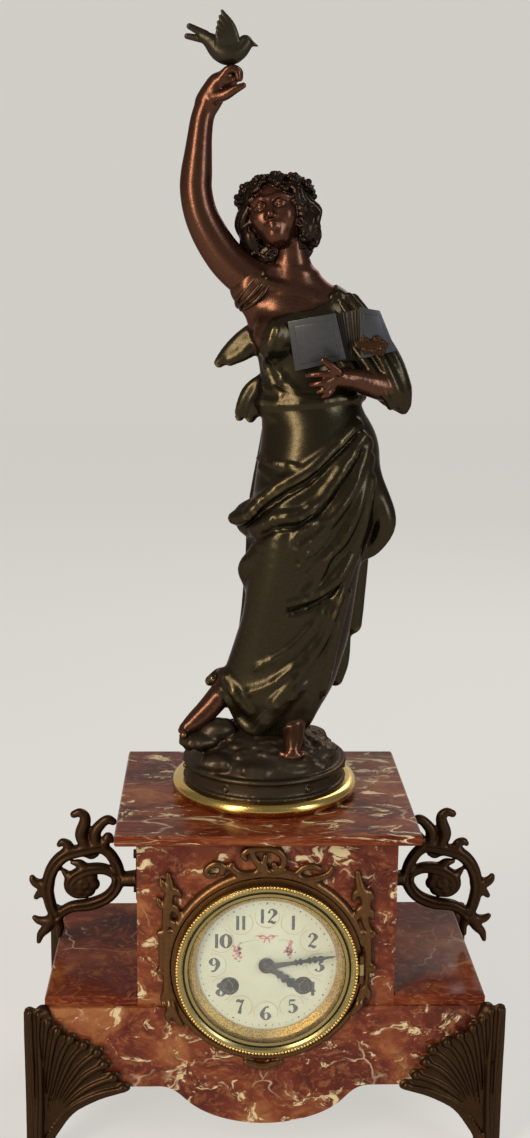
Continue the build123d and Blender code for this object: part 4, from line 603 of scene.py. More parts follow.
rose_print = glossy("rose_print", (0.660, 0.230, 0.250), (0.520, 0.130, 0.160), rough=0.2, size=2.0)
leaf_print = glossy("leaf_print", (0.180, 0.230, 0.110), (0.260, 0.300, 0.170), rough=0.2, size=2.0)
glass = clear_glass("window_glass")


# Pieces

def piece(name, vertices, faces, material, body, nodes=(), marks=None, smooth=True):
    """A mesh piece from vertices in millimetres, riding on a body and standing for CAD nodes."""
    mesh = bpy.data.meshes.new(name)
    mesh.from_pydata((np.asarray(vertices) * MM).tolist(), [], faces)
    if smooth:
        mesh.shade_smooth()
    mesh.materials.append(material)
    for key, values in (marks or {}).items():
        mesh.attributes.new(key, "FLOAT", "POINT").data.foreach_set("value", np.asarray(values, np.float32))
    made = bpy.data.objects.new(name, mesh)
    bpy.context.scene.collection.objects.link(made)
    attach(made, body)
    if nodes:
        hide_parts(*nodes)
    return made


def cast(name, sculpture, material, nodes=(), turn=None, cloth=None, reach=14, flip=ROUND):
    """A sculpted piece, with its proud and hollow places marked, turned or mirrored into its place."""
    vertices, quads = sculpture.skin()
    marks = {"relief": np.clip(relief(vertices, quads, reach), -1.0, 1.0)}
    if cloth is not None:
        marks["cloth"] = cloth(vertices)
    if turn is not None:
        vertices = turn(vertices)
    if np.prod(flip) < 0:
        quads = quads[:, ::-1]
    return piece(name, vertices * flip, quads.tolist(), material, "case", nodes, marks)


# Figure: body and dress. Rows of height, middle across, middle in depth, half width, half depth
TRUNK = ((455, 25, 11, 29, 23), (474, 25, 11, 28, 21), (484, 23, 11, 26, 19), (498, 18.5, 11, 24, 19),
         (512, 15, 11, 27, 21), (524, 14, 11, 29, 21), (533, 12, 11, 26.5, 17.5),
         (541, 12.5, 12, 20, 13.5), (548, 14.5, 13, 13, 11.5))
SKIRT = ((258, 4, 8, 22, 22), (272, 6, 8, 28, 28), (286, 7, 9, 36, 32), (300, 12, 10, 36, 33),
         (322, 18, 11, 36, 33), (342, 22, 11, 34, 33), (361, 22, 11, 35, 34), (378, 26, 11, 34, 35),
         (396, 29, 11, 38, 36), (420, 32, 11, 39, 36), (446, 31, 11, 35, 33), (466, 27, 11, 31, 27),
         (478, 25, 11, 28.5, 22))
NECKLINE = ((-40, 470), (-14, 478), (-8, 497), (-5, 512), (0, 521), (10, 524), (25, 527), (36, 532),
            (43, 548), (80, 548))
BUST = (((2, -6, 511), (12.5, 11, 12)), ((29, -6, 511), (12.5, 7.5, 12)))
SHOULDERS = (((-11, 11, 540), 14), ((39, 11, 525.5), 12))
NECK = ((14.5, 14, 536, 13), (14.5, 13, 548, 10.8), (12, 11, 567, 10.4))
YOKE = (((12, 14, 550, 7), (-9, 12, 546, 8.5)), ((17, 13, 547, 7), (38, 12, 530, 7.5)))
COLLARBONES = (((13, -1.5, 538.5, 2.2), (-6, -1, 543, 2.2)), ((18, -1.5, 537, 2.2), (35, 0.5, 530, 2.2)))
LEGS = (((26, 6, 440, 26), (14, -6, 400, 24), (9, -10, 372, 20), (0, -6, 328, 16.5), (-12, -1, 298, 12.5),
         (-22, 1, 284, 9.5)),
        ((42, 10, 440, 26), (36, 6, 370, 22), (26, 2, 310, 17), (18, -3, 272, 12)))
ANKLES = (((-22, 1, 292, 8), (-29, -1, 283, 7.8), (-37, -3, 273.5, 7.4), (-45, -6, 266.5, 6.4),
           (-50.5, -8, 263, 4.4)),
          ((18, -3, 282, 8.5), (18, -8, 272, 7.2), (17.5, -14, 263, 7), (17, -21, 257, 6.4),
           (16.5, -26, 253.5, 4.8)))
TOES = (
    ((-52, -12, 260.5), 2.3),
    ((-54, -9, 261), 2.5),
    ((-53.5, -5.5, 262), 2.3),
    ((-51.5, -2.5, 263), 2),
    ((-52.5, -15, 260), 2.4),
    ((9.5, -27.5, 251.5), 2.4),
    ((13, -29.5, 250.8), 2.4),
    ((16.5, -30, 250.5), 2.3),
    ((20, -29, 250.8), 2.2),
    ((23, -27, 251.5), 2))

# Folds seen in the photo: radii along the fold, then its pixels there
FRONT_FOLDS = (
    ((3.5, 5, 5, 4), ((357, 424), (333, 448), (309, 470), (282, 486), (261, 502), (248, 515), (234, 518))),
    ((3.5, 5, 4.5, 3),
     ((363, 437), (341, 470), (320, 499), (299, 515), (277, 518), (261, 526), (248, 531))),
    ((3.5, 4.5, 2.5), ((368, 443), (352, 488), (331, 518), (312, 539), (297, 548))),
    ((3.5, 4.5, 2.5), ((369, 459), (357, 507), (341, 539), (323, 558), (306, 574))),
    ((4, 5, 3), ((371, 480), (360, 529), (341, 571), (325, 587), (304, 598), (288, 603))),
    ((3, 4, 4, 3.5), ((357, 550), (344, 582), (331, 614), (320, 641), (299, 673), (282, 697), (258, 729))),
    ((3, 3.5, 3), ((347, 593), (336, 630), (328, 668), (323, 692))),
    ((2, 3, 1.8), ((320, 614), (299, 641), (277, 657), (256, 668))),
    ((2, 3, 1.8), ((315, 641), (293, 668), (272, 684), (250, 692))),
    ((2.5, 3, 2), ((331, 625), (309, 657), (288, 684), (269, 705))),
    ((3.5, 4.2, 3.5), ((210, 681), (221, 673), (229, 681), (237, 695), (250, 711))),
    ((3.5, 4, 3.5, 3),
     ((221, 689), (232, 703), (242, 721), (256, 731), (272, 719), (290, 697), (304, 684))),
    ((2.5, 3, 2), ((260, 458), (277, 464), (296, 467))),
    ((2.2, 2.6, 1.8), ((261, 467), (274, 478), (285, 483))),
    ((3, 3.5, 3), ((259, 403), (285, 404), (315, 403), (344, 399), (362, 397))),
    ((2.2, 2.6, 2), ((266, 388), (290, 396), (318, 399), (346, 392))),
    ((2.5, 3, 2), ((274, 360), (282, 378), (296, 392))),
    ((2, 2.4, 2), ((266, 366), (272, 382), (280, 396))),
    ((2, 2.5, 2), ((276, 326), (270, 344), (266, 362))),
    ((2, 2.8, 2.6, 1.6), ((328, 517), (311, 525), (296, 536), (292, 548))),
    ((2, 2.8, 2.6, 1.6), ((327, 534), (315, 548), (303, 556), (297, 567))),
    ((2, 2.8, 2.6, 1.6), ((328, 557), (320, 573), (311, 586), (300, 593))))
# Loose gathers and ends of the drapery: rows of x, y, z and radius
GATHERS = (
    ((18, -18, 420, 8), (-2, -14, 407, 9), (-14.5, -6, 400, 7.5), (-11, 4, 390, 5.5), (0, 10, 384, 5.5)),
    ((8, -18, 386, 5), (-6, -13, 376, 6.5), (-13, -5, 366, 5.8), (-9, 3, 354, 5), (-4, 6, 344, 4.5)),
    ((56, 2, 436, 8), (68, 4, 412, 8.5), (74, 4, 394, 7.5), (67, 6, 379, 6), (56, 8, 374, 6)),
    ((56, 26, 430, 8), (59, 28, 380, 8.5), (57.5, 28, 340, 8), (57, 27, 323, 7)),
    ((48, 30, 380, 8), (49.5, 30, 330, 7.5), (49.5, 28, 300, 7), (47, 26, 286, 5.5)),
    ((36, 30, 340, 7), (36, 28, 300, 6.5), (34, 24, 284, 6)))
SCARF_ENDS = (
    ((-2, 18, 516, 7), (-14, 19, 508, 7), (-24, 20, 500, 5.5), (-31, 21, 493, 3.5)),
    ((-2, 16, 510, 6), (-14, 16, 501, 5.5), (-24, 18, 495, 4)),
    ((2, 18, 484, 6), (-10, 18, 476, 6), (-16, 19, 466, 4.5), (-18, 20, 459, 3)),
    ((2, 16, 480, 6), (-6, 15, 470, 5), (-11, 17, 459, 3.5)))
# Pleats of the back: across and up
BACK_PLEATS = (
    ((2, 470), (-2, 440), (-8, 400), (-10, 350), (-14, 300)),
    ((10, 472), (8, 440), (4, 400), (2, 350), (-4, 285)),
    ((18, 473), (17, 440), (16, 395), (14, 340), (8, 275)),
    ((27, 474), (28, 440), (28, 395), (26, 340), (19, 275)),
    ((36, 473), (39, 440), (41, 395), (38, 345), (30, 285)),
    ((44, 472), (50, 442), (54, 405), (51, 360), (42, 305)),
    ((14, 522), (15, 505), (19, 488), (22, 476)),
    ((26, 520), (25, 505), (26, 488), (27, 476)))
FOLD_BLEND = 2.5
FOLD_SINK = 0.28
# Folds at least this thick have a groove below them
GROOVED_RADIUS = 5.0
GROOVE_SHARE = 0.42
GROOVE_DROP = 2.3
PLEAT_RADII = (2.5, 4.5, 5.0)
PLEAT_SINK = 1.5
SCARF_FLAT = (1.0, 1.5, 1.0)
BODICE_THICK = 1.6
BODICE_FOOT = 462
CLOTH_REACH = 1.0
BODY_BOX = ((-66, -50, 236), (94, 72, 572))
BODY_STEP = 1.1


def bare_body():
    skin = Sculpture(*BODY_BOX, BODY_STEP)
    skin.add(stack(TRUNK))
    skin.eggs(BUST, blend=6.0)
    skin.eggs(SHOULDERS, blend=8.0)
    skin.bars((NECK,), blend=8.0)
    skin.bars(YOKE, blend=9.0)
    skin.bars(COLLARBONES, blend=4.0)
    return skin


def dress(skin):
    """The bodice over the bare body, with skirt, legs under it, folds, pleats and loose ends."""
    cloth = skin.copy()
    x, _, z = skin.grid()
    cloth.value = skin.value - BODICE_THICK
    cloth.keep(z - np.interp(x, *np.transpose(NECKLINE)), BODICE_FOOT - z)
    cloth.add(stack(SKIRT), blend=5.0)
    cloth.limbs(LEGS, blend=9.0)
    cloth.limbs(GATHERS, blend=4.0)
    core = cloth.copy()
    for radii, pixels in FRONT_FOLDS:
        line = spline(pixels, 4)
        points = core.front(line, max(radii) * FOLD_SINK)
        cloth.add(rod(with_radii(points, *radii)), FOLD_BLEND)
        if max(radii) >= GROOVED_RADIUS:
            groove = core.front(line + (0.0, GROOVE_DROP * max(radii)))
            groove_radii = [radius * GROOVE_SHARE for radius in radii]
            cloth.carve(rod(with_radii(groove, *groove_radii)), blend=1.6)
    for points in BACK_PLEATS:
        pleat = core.back(spline(points, 4), PLEAT_SINK)
        cloth.add(rod(with_radii(pleat, *PLEAT_RADII)), blend=3.5)
    cloth.limbs(SCARF_ENDS, blend=3.0, weights=SCARF_FLAT)
    return cloth


def figure_body():
    skin = bare_body()
    cloth = dress(skin)
    skin.limbs(ANKLES, blend=2.0)
    skin.eggs(TOES, blend=1.5)
    both = skin.copy()
    both.value = smooth_min(skin.value, cloth.value, blend=0.8)
    return both, covered(skin, CLOTH_REACH)


body_form, body_cloth = figure_body()
cast("figure_body_cast", body_form, figure_metal, ("figure_body",), cloth=body_cloth)


def pair(place, radii):
    """The same ellipsoid left and right of the middle."""
    return ((-place[0], *place[1:]), radii), (place, radii)


def mirrored(*rows):
    """The same bar left and right of the middle."""
    return [(-x, *rest) for x, *rest in rows], rows


# Figure: head, in its own frame with the face towards -Y, then tilted into place
HEAD_PLACE = (3.0, 7.0, 582.4)
HEAD_LEAN = Matrix.Rotation(math.radians(-12.0), 3, "Y")
HEAD_YAW = Matrix.Rotation(math.radians(-12.0), 3, "Z")
HEAD_BACK = Matrix.Rotation(math.radians(-18.0), 3, "X")
HEAD_TILT = np.array(HEAD_LEAN @ HEAD_YAW @ HEAD_BACK)
SKULL = (((0, 1, 5), (15, 18, 17.5)), ((0, -5, -6), (12.2, 12.5, 13.5)), ((0, -9.5, -15.5), (5.5, 6, 5)))
CHEEKS = pair((8.0, -11.0, -3.5), (5.0, 5.0, 5.5))
SOCKETS = pair((6.3, -17.6, 2.2), (4.2, 3.4, 2.8))
EYES = pair((6.1, -13.8, 1.9), 2.9)
BROWS = mirrored((11.0, -13.2, 5.6, 1.3), (6.5, -15.8, 6.6, 1.5), (2.2, -16.6, 5.4, 1.3))
LIDS = mirrored((9.4, -14.6, 1.6, 0.6), (6.2, -16.7, 3.3, 0.7), (3.2, -15.6, 1.7, 0.6))
NOSE = ((0, -16.2, 4.6, 1.7), (0, -18.2, -0.6, 1.9), (0, -20.2, -5.2, 2.3))
NOSTRILS = pair((2.2, -17.9, -6.0), 1.6)
LIPS = (((-5, -15.2, -10.6, 0.6), (-1.4, -17.4, -9.9, 1.15), (1.4, -17.4, -9.9, 1.15),
         (5, -15.2, -10.6, 0.6)),
        ((-4.4, -15.2, -11.4, 0.6), (0, -17.2, -12.2, 1.45), (4.4, -15.2, -11.4, 0.6)))
EARS = pair((14.6, 1.0, -0.5), (1.8, 3.2, 4.8))
NECK_TOP = (0.0, 3.0, -7.0, 10.0)
NECK_FOOT_RADIUS = 10.3
HAIR_MASSES = (((0.0, 5.8, 5.8), (20.2, 19.6, 18.4)), *pair((17.0, 4.3, -6.7), (7.6, 10.6, 13.6)),
               ((0.0, 18.4, -5.8), (14.6, 10.6, 15.6)), ((-9.0, 10.0, -19.0), (8.5, 9.0, 8.5)),
               ((9.0, 12.0, -17.0), (8.5, 8.0, 8.5)))
FACE_OPENING = ((0, -23, -4), (13.5, 15, 17))
# Locks of the right half, mirrored for the left
LOCKS = (
    ((1, -13, 19, 1.8), (8, -11.5, 16.5, 2.4), (14.5, -7.5, 9, 2.8), (19, -3.5, -1, 2.8),
     (20.5, 0, -11, 2.6), (16, 4, -19, 2.2)),
    ((2, -10, 22, 2), (10.5, -7.5, 18.5, 2.6), (17.5, -2.5, 9.5, 2.8), (22.5, 1, -1, 2.8),
     (23.5, 4, -11, 2.6), (19, 7, -20, 2.2)),
    ((2.5, -5, 23.5, 2), (12, -1, 19.5, 2.6), (19, 3.5, 10.5, 2.8), (23.5, 6, 0, 2.8), (23, 9, -10, 2.6),
     (17, 11, -20, 2.2)),
    ((2.5, 1, 24.5, 2), (12, 6, 20.5, 2.6), (18.5, 10, 12, 2.8), (21, 13, 1, 2.8), (19.5, 15, -9, 2.6),
     (14, 17, -19, 2.2)),
    ((2, 8, 24.5, 2), (9, 14, 20.5, 2.6), (14, 19, 12, 2.8), (15, 23, 1, 2.8), (13.5, 24.5, -9, 2.6),
     (9, 23, -18, 2.2)),
    ((1, 13, 23.5, 2), (3.5, 20, 19, 2.6), (5.5, 25.5, 9, 2.8), (5.5, 28.5, -2, 2.8), (4.5, 28, -12, 2.6),
     (2.5, 25, -19, 2)),
    ((6, -14.2, 15.5, 1.3), (9.5, -13, 12, 1.5), (12, -11, 7, 1.5), (12.8, -9.5, 2.5, 1.1)),
    ((2, -15, 17.5, 1.2), (5, -15.2, 15, 1.4), (7.5, -14.5, 11.5, 1.1)))
LOCK_WAVE = 1.5
LOCK_TURNS = 6.0
CURLS = 110
CURL_SEED = 5
CURL_REACH = 2.3
CURL_RADIUS = 1.15
CURL_SWEEP = 1.7 * math.pi
CURL_POINTS = 8
# A curl is left out where its squared distance from the face's opening, in radii of it, is below this
CURL_CLEAR = 1.35
WREATH_LUMPS = 12
WREATH_START = math.radians(15.0)
WREATH_REACH = (20.6, 17.6)
WREATH_MIDDLE = (5.8, 13.5)
WREATH_DIP = 4.8
WREATH_RISE = 0.75
LUMP_RADIUS = 4.1
# Berries round a lump and the one on top: their places and sizes as shares of the lump's radius
BERRIES = 7
BERRY_ASIDE = 0.8
BERRY_OUT = 0.45
BERRY_SHARE = 0.46
TOP_OUT = 0.85
TOP_SHARE = 0.5
LEAF_TURN = 0.26
LEAF_OUT = 3.4
LEAF_UP = 1.2
LEAF_START = 3.0
LEAF_REACH = 5.0
LEAF_ENDS = (2.2, 0.7)
LEAF_FLAT = (1.0, 1.0, 1.4)
HAIR_REACH = 0.7
HEAD_BOX = ((-34, -30, -42), (34, 40, 36))
HEAD_STEP = 0.5


def face_form():
    head = Sculpture(*HEAD_BOX, HEAD_STEP)
    head.eggs(SKULL, blend=6.0)
    head.eggs(CHEEKS, blend=5.0)
    for place, radii in SOCKETS:
        head.carve(egg(place, radii), blend=3.0)
    head.limbs(BROWS, blend=2.5)
    head.eggs(EYES, blend=0.4)
    head.limbs(LIDS, blend=0.6)
    head.limbs((NOSE,), blend=2.6)
    head.eggs(NOSTRILS, blend=1.2)
    head.limbs(LIPS, blend=1.0)
    head.eggs(EARS, blend=1.5)
    neck_foot = (np.array(NECK[-1][:3]) - HEAD_PLACE) @ HEAD_TILT
    head.bars(((NECK_TOP, (*neck_foot, NECK_FOOT_RADIUS)),), blend=5.0)
    return head


def add_locks(hair):
    for side in (-1.0, 1.0):
        for i, rows in enumerate(LOCKS):
            lock = spline(np.asarray(rows) * (side, 1.0, 1.0, 1.0))
            sway = np.linspace(0.0, LOCK_TURNS * math.pi, len(lock)) + i + side
            lock[:, 0] += LOCK_WAVE * np.sin(sway)
            lock[:, 1] += LOCK_WAVE * np.cos(sway)
            hair.add(rod(lock), blend=0.7)


def add_curls(hair):
    """Small open rings strewn over the masses of hair, but not in the face."""
    chance = np.random.default_rng(CURL_SEED)
    for _ in range(CURLS):
        place, radii = (np.asarray(part) for part in HAIR_MASSES[chance.integers(len(HAIR_MASSES))])
        outward = chance.normal(0.0, 1.0, 3)
        outward /= np.linalg.norm(outward)
        spot = place + radii * outward
        if (((spot - FACE_OPENING[0]) / FACE_OPENING[1]) ** 2).sum() < CURL_CLEAR:
            continue
        aside = np.cross(outward, (0.0, 0.0, 1.0))
        aside /= np.linalg.norm(aside)
        raised = np.cross(aside, outward)
        turns = np.linspace(0.0, CURL_SWEEP, CURL_POINTS)[:, None] + chance.uniform(0.0, 2 * math.pi)
        curl = spot + CURL_REACH * (np.cos(turns) * aside + np.sin(turns) * raised)
        hair.add(rod(with_radii(curl, CURL_RADIUS)), blend=0.4)


def add_wreath(hair):
    """Lumps of berries round the head, each with a leaf beside it."""
    for i, angle in enumerate(angles(WREATH_LUMPS, WREATH_START)):
        cos, sin = math.cos(angle), math.sin(angle)
        middle = np.array((WREATH_REACH[0] * cos, WREATH_MIDDLE[0] + WREATH_REACH[1] * sin,
                           WREATH_MIDDLE[1] - WREATH_DIP * sin))
        outward = np.array((cos, sin, WREATH_RISE))
        outward /= np.linalg.norm(outward)
        aside = np.array((-sin, cos, 0.0))
        raised = np.cross(outward, aside)
        hair.add(egg(middle, LUMP_RADIUS), blend=1.0)
        for turn in angles(BERRIES, i):
            berry = middle + LUMP_RADIUS * (BERRY_ASIDE * math.cos(turn) * aside
                                            + BERRY_ASIDE * math.sin(turn) * raised + BERRY_OUT * outward)
            hair.add(egg(berry, LUMP_RADIUS * BERRY_SHARE), blend=0.35)
        hair.add(egg(middle + LUMP_RADIUS * TOP_OUT * outward, LUMP_RADIUS * TOP_SHARE), blend=0.35)
        bearing = angle + LEAF_TURN
        leaf = middle + np.array((LEAF_OUT * math.cos(bearing), LEAF_OUT * math.sin(bearing), LEAF_UP))
        ends = np.array((middle + aside * LEAF_START, leaf + aside * LEAF_REACH))
        hair.add(rod(with_radii(ends, *LEAF_ENDS), LEAF_FLAT), blend=0.6)


def head_form():
    face = face_form()
    hair = Sculpture(*HEAD_BOX, HEAD_STEP)
    hair.eggs(HAIR_MASSES, blend=3.0)
    hair.carve(egg(*FACE_OPENING), blend=1.5)
    add_locks(hair)
    add_curls(hair)
    add_wreath(hair)
    head = face.copy()
    head.value = smooth_min(face.value, hair.value, blend=0.5)
    return head, covered(face, HAIR_REACH)


def head_turn(vertices):
    return vertices @ HEAD_TILT.T + HEAD_PLACE


head_shape, head_hair = head_form()
cast("figure_head_cast", head_shape, head_metal, ("figure_head",), turn=head_turn,
     cloth=head_hair, reach=8)

# Figure: raised arm with the hand under the bird. Rows of x, y, z and radius
RAISED_ARM = ((-6, 12, 541, 13.5), (-18.5, 11, 549, 12.5), (-28, 10.5, 558, 11.8), (-37, 10, 571, 11),
              (-43, 9.5, 584, 10.2), (-45.6, 9, 597, 9.8), (-45.3, 8.5, 607, 9.5), (-44.4, 8, 617, 8.5),
              (-43.4, 8, 628, 7.5), (-42, 8, 638, 7), (-39.5, 8, 646, 6.8))
PALM = (
    ((-37.5, 8, 649.5), (7.2, 7, 7)),
    ((-34.5, 8, 654.5), (7.2, 7.6, 7)),
    ((-31.5, 8, 659.5), (6.4, 7.6, 5.6)),
    ((-25.5, 6, 660), (4.6, 6, 4.6)))
FINGERS = (
    ((-31, 2.5, 660.5, 2.9), (-26.5, 1, 665.5, 2.6), (-21.5, 0.5, 665, 2.2), (-20.5, 0.5, 660.5, 1.9)),
    ((-31, 6, 662, 2.9), (-25.5, 5, 666.5, 2.6), (-20.2, 4.5, 665.5, 2.2), (-19.5, 4.5, 661, 1.8)),
    ((-31, 9.5, 662, 2.8), (-26, 9, 666.5, 2.5), (-20.8, 9, 665.5, 2.1), (-20.2, 9, 661.5, 1.7)),
    ((-31, 13, 661, 2.5), (-26.5, 13, 665, 2.2), (-22.5, 13, 664.5, 1.9), (-22, 13, 661, 1.6)),
    ((-35, 2.5, 650, 3.8), (-28.5, -1, 651, 3.2), (-22.5, -3, 654, 2.5), (-17.5, -3.5, 656.3, 1.8)))
STRAP_BANDS = (((-5, 0.5, 549, 1.4), (-11, -1.5, 543, 1.7), (-16, -0.5, 537.5, 1.6), (-20.5, 3, 532, 1.5),
                (-20, 11, 528, 1.4)),
               ((-3, -1, 545.5, 1.4), (-8, -3, 539.5, 1.7), (-13, -3, 534, 1.6), (-18, 1, 529.5, 1.5),
                (-17.5, 10, 526, 1.4)),
               ((-1, -2, 542, 1.3), (-5, -4.5, 536, 1.6), (-10, -4.5, 531, 1.5), (-15.5, -1, 527, 1.4)))
STRAP_SHARE = 0.55
SLEEVE_REACH = 0.8
RAISED_BOX = ((-62, -16, 520), (6, 34, 676))
ARM_STEP = 0.75


def raised_arm_form():
    arm = Sculpture(*RAISED_BOX, ARM_STEP)
    arm.limbs((RAISED_ARM,), blend=0.0)
    arm.eggs(PALM, blend=4.0)
    arm.limbs(FINGERS, blend=1.2)
    bare = arm.copy()
    arm.limbs(STRAP_BANDS, blend=1.6)
    return arm, covered(bare, SLEEVE_REACH, STRAP_SHARE)


arm_shape, arm_strap = raised_arm_form()
cast("raised_arm_cast", arm_shape, figure_metal, ("raised_arm",), cloth=arm_strap, reach=8)

# Figure: arm under the book, with its sleeve
BOOK_ARM = ((42, 11, 525, 12), (54, 8, 511, 11.3), (66, 2, 494, 10.5), (72, -5, 482, 9.5),
            (62, -12, 483, 8.2), (50, -17, 486, 6.4), (44, -20, 487, 5.6))
BOOK_PALM = ((38, -22, 487.5), (7, 5, 5.8))
BOOK_FINGERS = (
    ((37, -26, 490, 2.5), (31, -27, 489.5, 2.2), (25, -26, 489, 1.9), (21.5, -24, 488.5, 1.6)),
    ((36, -26, 486.5, 2.4), (31, -28, 484.5, 2.2), (26, -27, 483.5, 1.9), (24, -25, 483, 1.6)),
    ((36, -25, 483.5, 2.2), (32, -27, 480.5, 2), (28.5, -26, 479, 1.8)),
    ((37, -24, 480.5, 2), (34, -26, 477.5, 1.8), (31.5, -25, 476, 1.6)),
    ((40, -27, 491, 2.8), (35, -28, 495, 2.4), (30.5, -28.5, 498, 1.9)))
SLEEVE = ((43, 11, 526, 12), (54, 8, 511, 13.5), (66, 3, 495, 14), (75, -2, 481, 12), (81, -2, 472, 7),
          (83, -2, 467, 3.5))
SLEEVE_FOLDS = (
    ((43, -1, 531, 2.6), (55, -5, 514, 3.4), (68, -11, 497, 3.2), (76, -12, 480, 3), (80, -7, 470, 2.2)),
    ((48, 1, 535, 2.6), (62, -2, 518, 3.3), (76, -6, 499, 3), (83, -7, 482, 2.6), (84, -4, 470, 2)),
    ((52, 9, 534, 2.8), (67, 8, 515, 3.4), (79, 4, 497, 3), (85, 0, 480, 2.6)),
    ((52, 19, 526, 2.8), (65, 18, 509, 3.4), (77, 13, 493, 3), (83, 6, 478, 2.4)),
    ((38, -3, 526, 2.4), (48, -7, 509, 3.2), (60, -13, 493, 3), (69, -15, 478, 2.6), (74, -10, 469, 2.2)),
    ((40, 3, 506, 8), (48, -1, 493, 8), (52, 0, 483, 7)))
SLEEVE_KNOT = (((42, 2, 535.5), 4.2), ((47, 3, 532.5), 3.8), ((38, 1, 534), 3.4))
BOOK_ARM_BOX = ((14, -40, 458), (96, 36, 552))


def book_arm_form():
    arm = Sculpture(*BOOK_ARM_BOX, ARM_STEP)
    arm.limbs((BOOK_ARM,), blend=0.0)
    arm.eggs((BOOK_PALM,), blend=4.0)
    arm.limbs(BOOK_FINGERS, blend=1.2)
    bare = arm.copy()
    sleeve = Sculpture(*BOOK_ARM_BOX, ARM_STEP)
    sleeve.limbs((SLEEVE,), blend=0.0)
    sleeve.limbs(SLEEVE_FOLDS, blend=3.0)
    sleeve.eggs(SLEEVE_KNOT, blend=1.5)
    arm.value = smooth_min(arm.value, sleeve.value, blend=0.6)
    return arm, covered(bare, SLEEVE_REACH)


book_arm_shape, book_arm_sleeve = book_arm_form()
cast("book_arm_cast", book_arm_shape, figure_metal, ("book_arm",), cloth=book_arm_sleeve,
     reach=10)

# Figure: bird
BIRD_BODY = ((-42, 8, 685, 2.8), (-37, 8, 682.3, 4.6), (-31.5, 8, 677.5, 6.4), (-26, 7.5, 675.4, 6.6),
             (-20.5, 7.2, 677.5, 5.6), (-16.6, 7, 681.5, 4.6))
BEAK = ((-12.8, 7, 681.3, 1.7), (-9.2, 7, 680, 0.5))
TAIL = (((-40, 7, 685.8, 2.6), (-49.5, 6.4, 690.2, 1.9)), ((-40, 9, 683.4, 2.6), (-51, 9.6, 685.2, 1.8)))
TAIL_FLAT = (1.0, 1.6, 1.0)
# A wing's feathers: across and up at the roots and tips, and the depth of each wing's tips and roots
WING_ROOT = ((-21.5, 680.5), (-32, 679))
WING_TIPS = ((-30.4, 698), (-31.6, 695), (-32.6, 691.8), (-33.2, 688.6), (-33.5, 685.4))
WINGS = ((0.5, 5), (14.5, 10))
WING_FLAT = (1.0, 1.7, 1.0)
FEATHER_RADII = (3.4, 2.9, 1.1)
FEATHER_BOW = 1.0
ROOT_SINK = 3.0
BIRD_EYES = (((-14.6, 3.4, 683.4), 0.9), ((-14.6, 10.6, 683.4), 0.9))
BIRD_BOX = ((-58, -6, 662), (-4, 22, 702))
BIRD_STEP = 0.42


def feathers(tip_depth, root_depth):
    """Rows of the feathers of one wing."""
    for root, tip in zip(np.linspace(*WING_ROOT, len(WING_TIPS)), WING_TIPS):
        bow_depth = tip_depth + (root_depth - tip_depth) / 3
        points = ((root[0], root_depth, root[1] - ROOT_SINK),
                  ((root[0] + tip[0]) / 2 + FEATHER_BOW, bow_depth, (root[1] + tip[1]) / 2),
                  (tip[0], tip_depth, tip[1]))
        yield with_radii(points, *FEATHER_RADII)


def bird_form():
    bird = Sculpture(*BIRD_BOX, BIRD_STEP)
    bird.limbs((BIRD_BODY,), blend=0.0)
    bird.bars((BEAK,), blend=0.8)
    for rows in TAIL:
        bird.add(rod(rows, TAIL_FLAT), blend=0.6)
    for depths in WINGS:
        bird.limbs(feathers(*depths), blend=0.5, weights=WING_FLAT)
    bird.eggs(BIRD_EYES, blend=0.3)
    return bird


cast("bird_cast", bird_form(), bird_metal, ("bird",), reach=6)

# Figure: ground with its rim, rivets, rocks and turf. The profile has rows of radius and height
GROUND_MIDDLE = 8.0
GROUND_PROFILE = ((0, 263), (14, 262), (27, 257), (38, 250), (45, 243.5), (50, 238.5))
GROUND_SLOPE = 0.8
GROUND_FOOT = 219.5
RIM = 239.0
RIM_RADIUS = 52.0
RIM_INSET = 1.2
# Beads round the rim: height and radius
RIM_BEADS = ((RIM - 1.2, 1.7), (GROUND_FOOT + 7.0, 1.4))
RIM_PARTS = 72
RIVETS = 6
RIVET_RADIUS = 1.9
RIVET_DROP = 7.5
ROCKS = (
    ((-43, -7, 254.5), (14, 12, 5.8)),
    ((-31, -4, 261), (12, 10, 6.5)),
    ((-30, -24, 244.5), (12, 9, 6)),
    ((-8, -31, 243), (14, 9, 5)),
    ((16, -24, 245), (13, 11, 5)),
    ((36, -6, 246), (9, 12, 6)),
    ((30, 28, 246), (12, 10, 6)),
    ((2, 40, 245), (14, 9, 6)),
    ((-28, 32, 246), (12, 10, 6)))
GROUND_SEED = 7
ROCK_LUMPS = 12
LUMP_OUT = 0.8
LUMP_SIZES = (1.8, 3.6)
TURF = 320
TURF_REACH = 47.0
TURF_SPREAD = (0.05, 1.0)
TURF_SIZES = (1.0, 2.4)
TURF_SHAPE = (1.5, 1.0, 0.7)
TURF_SINK = 0.2
GROUND_BOX = ((-56, -48, 216), (56, 64, 270))
GROUND_STEP = 1.0


def on_ground(distance, angle, level):
    return distance * math.cos(angle), GROUND_MIDDLE + distance * math.sin(angle), level


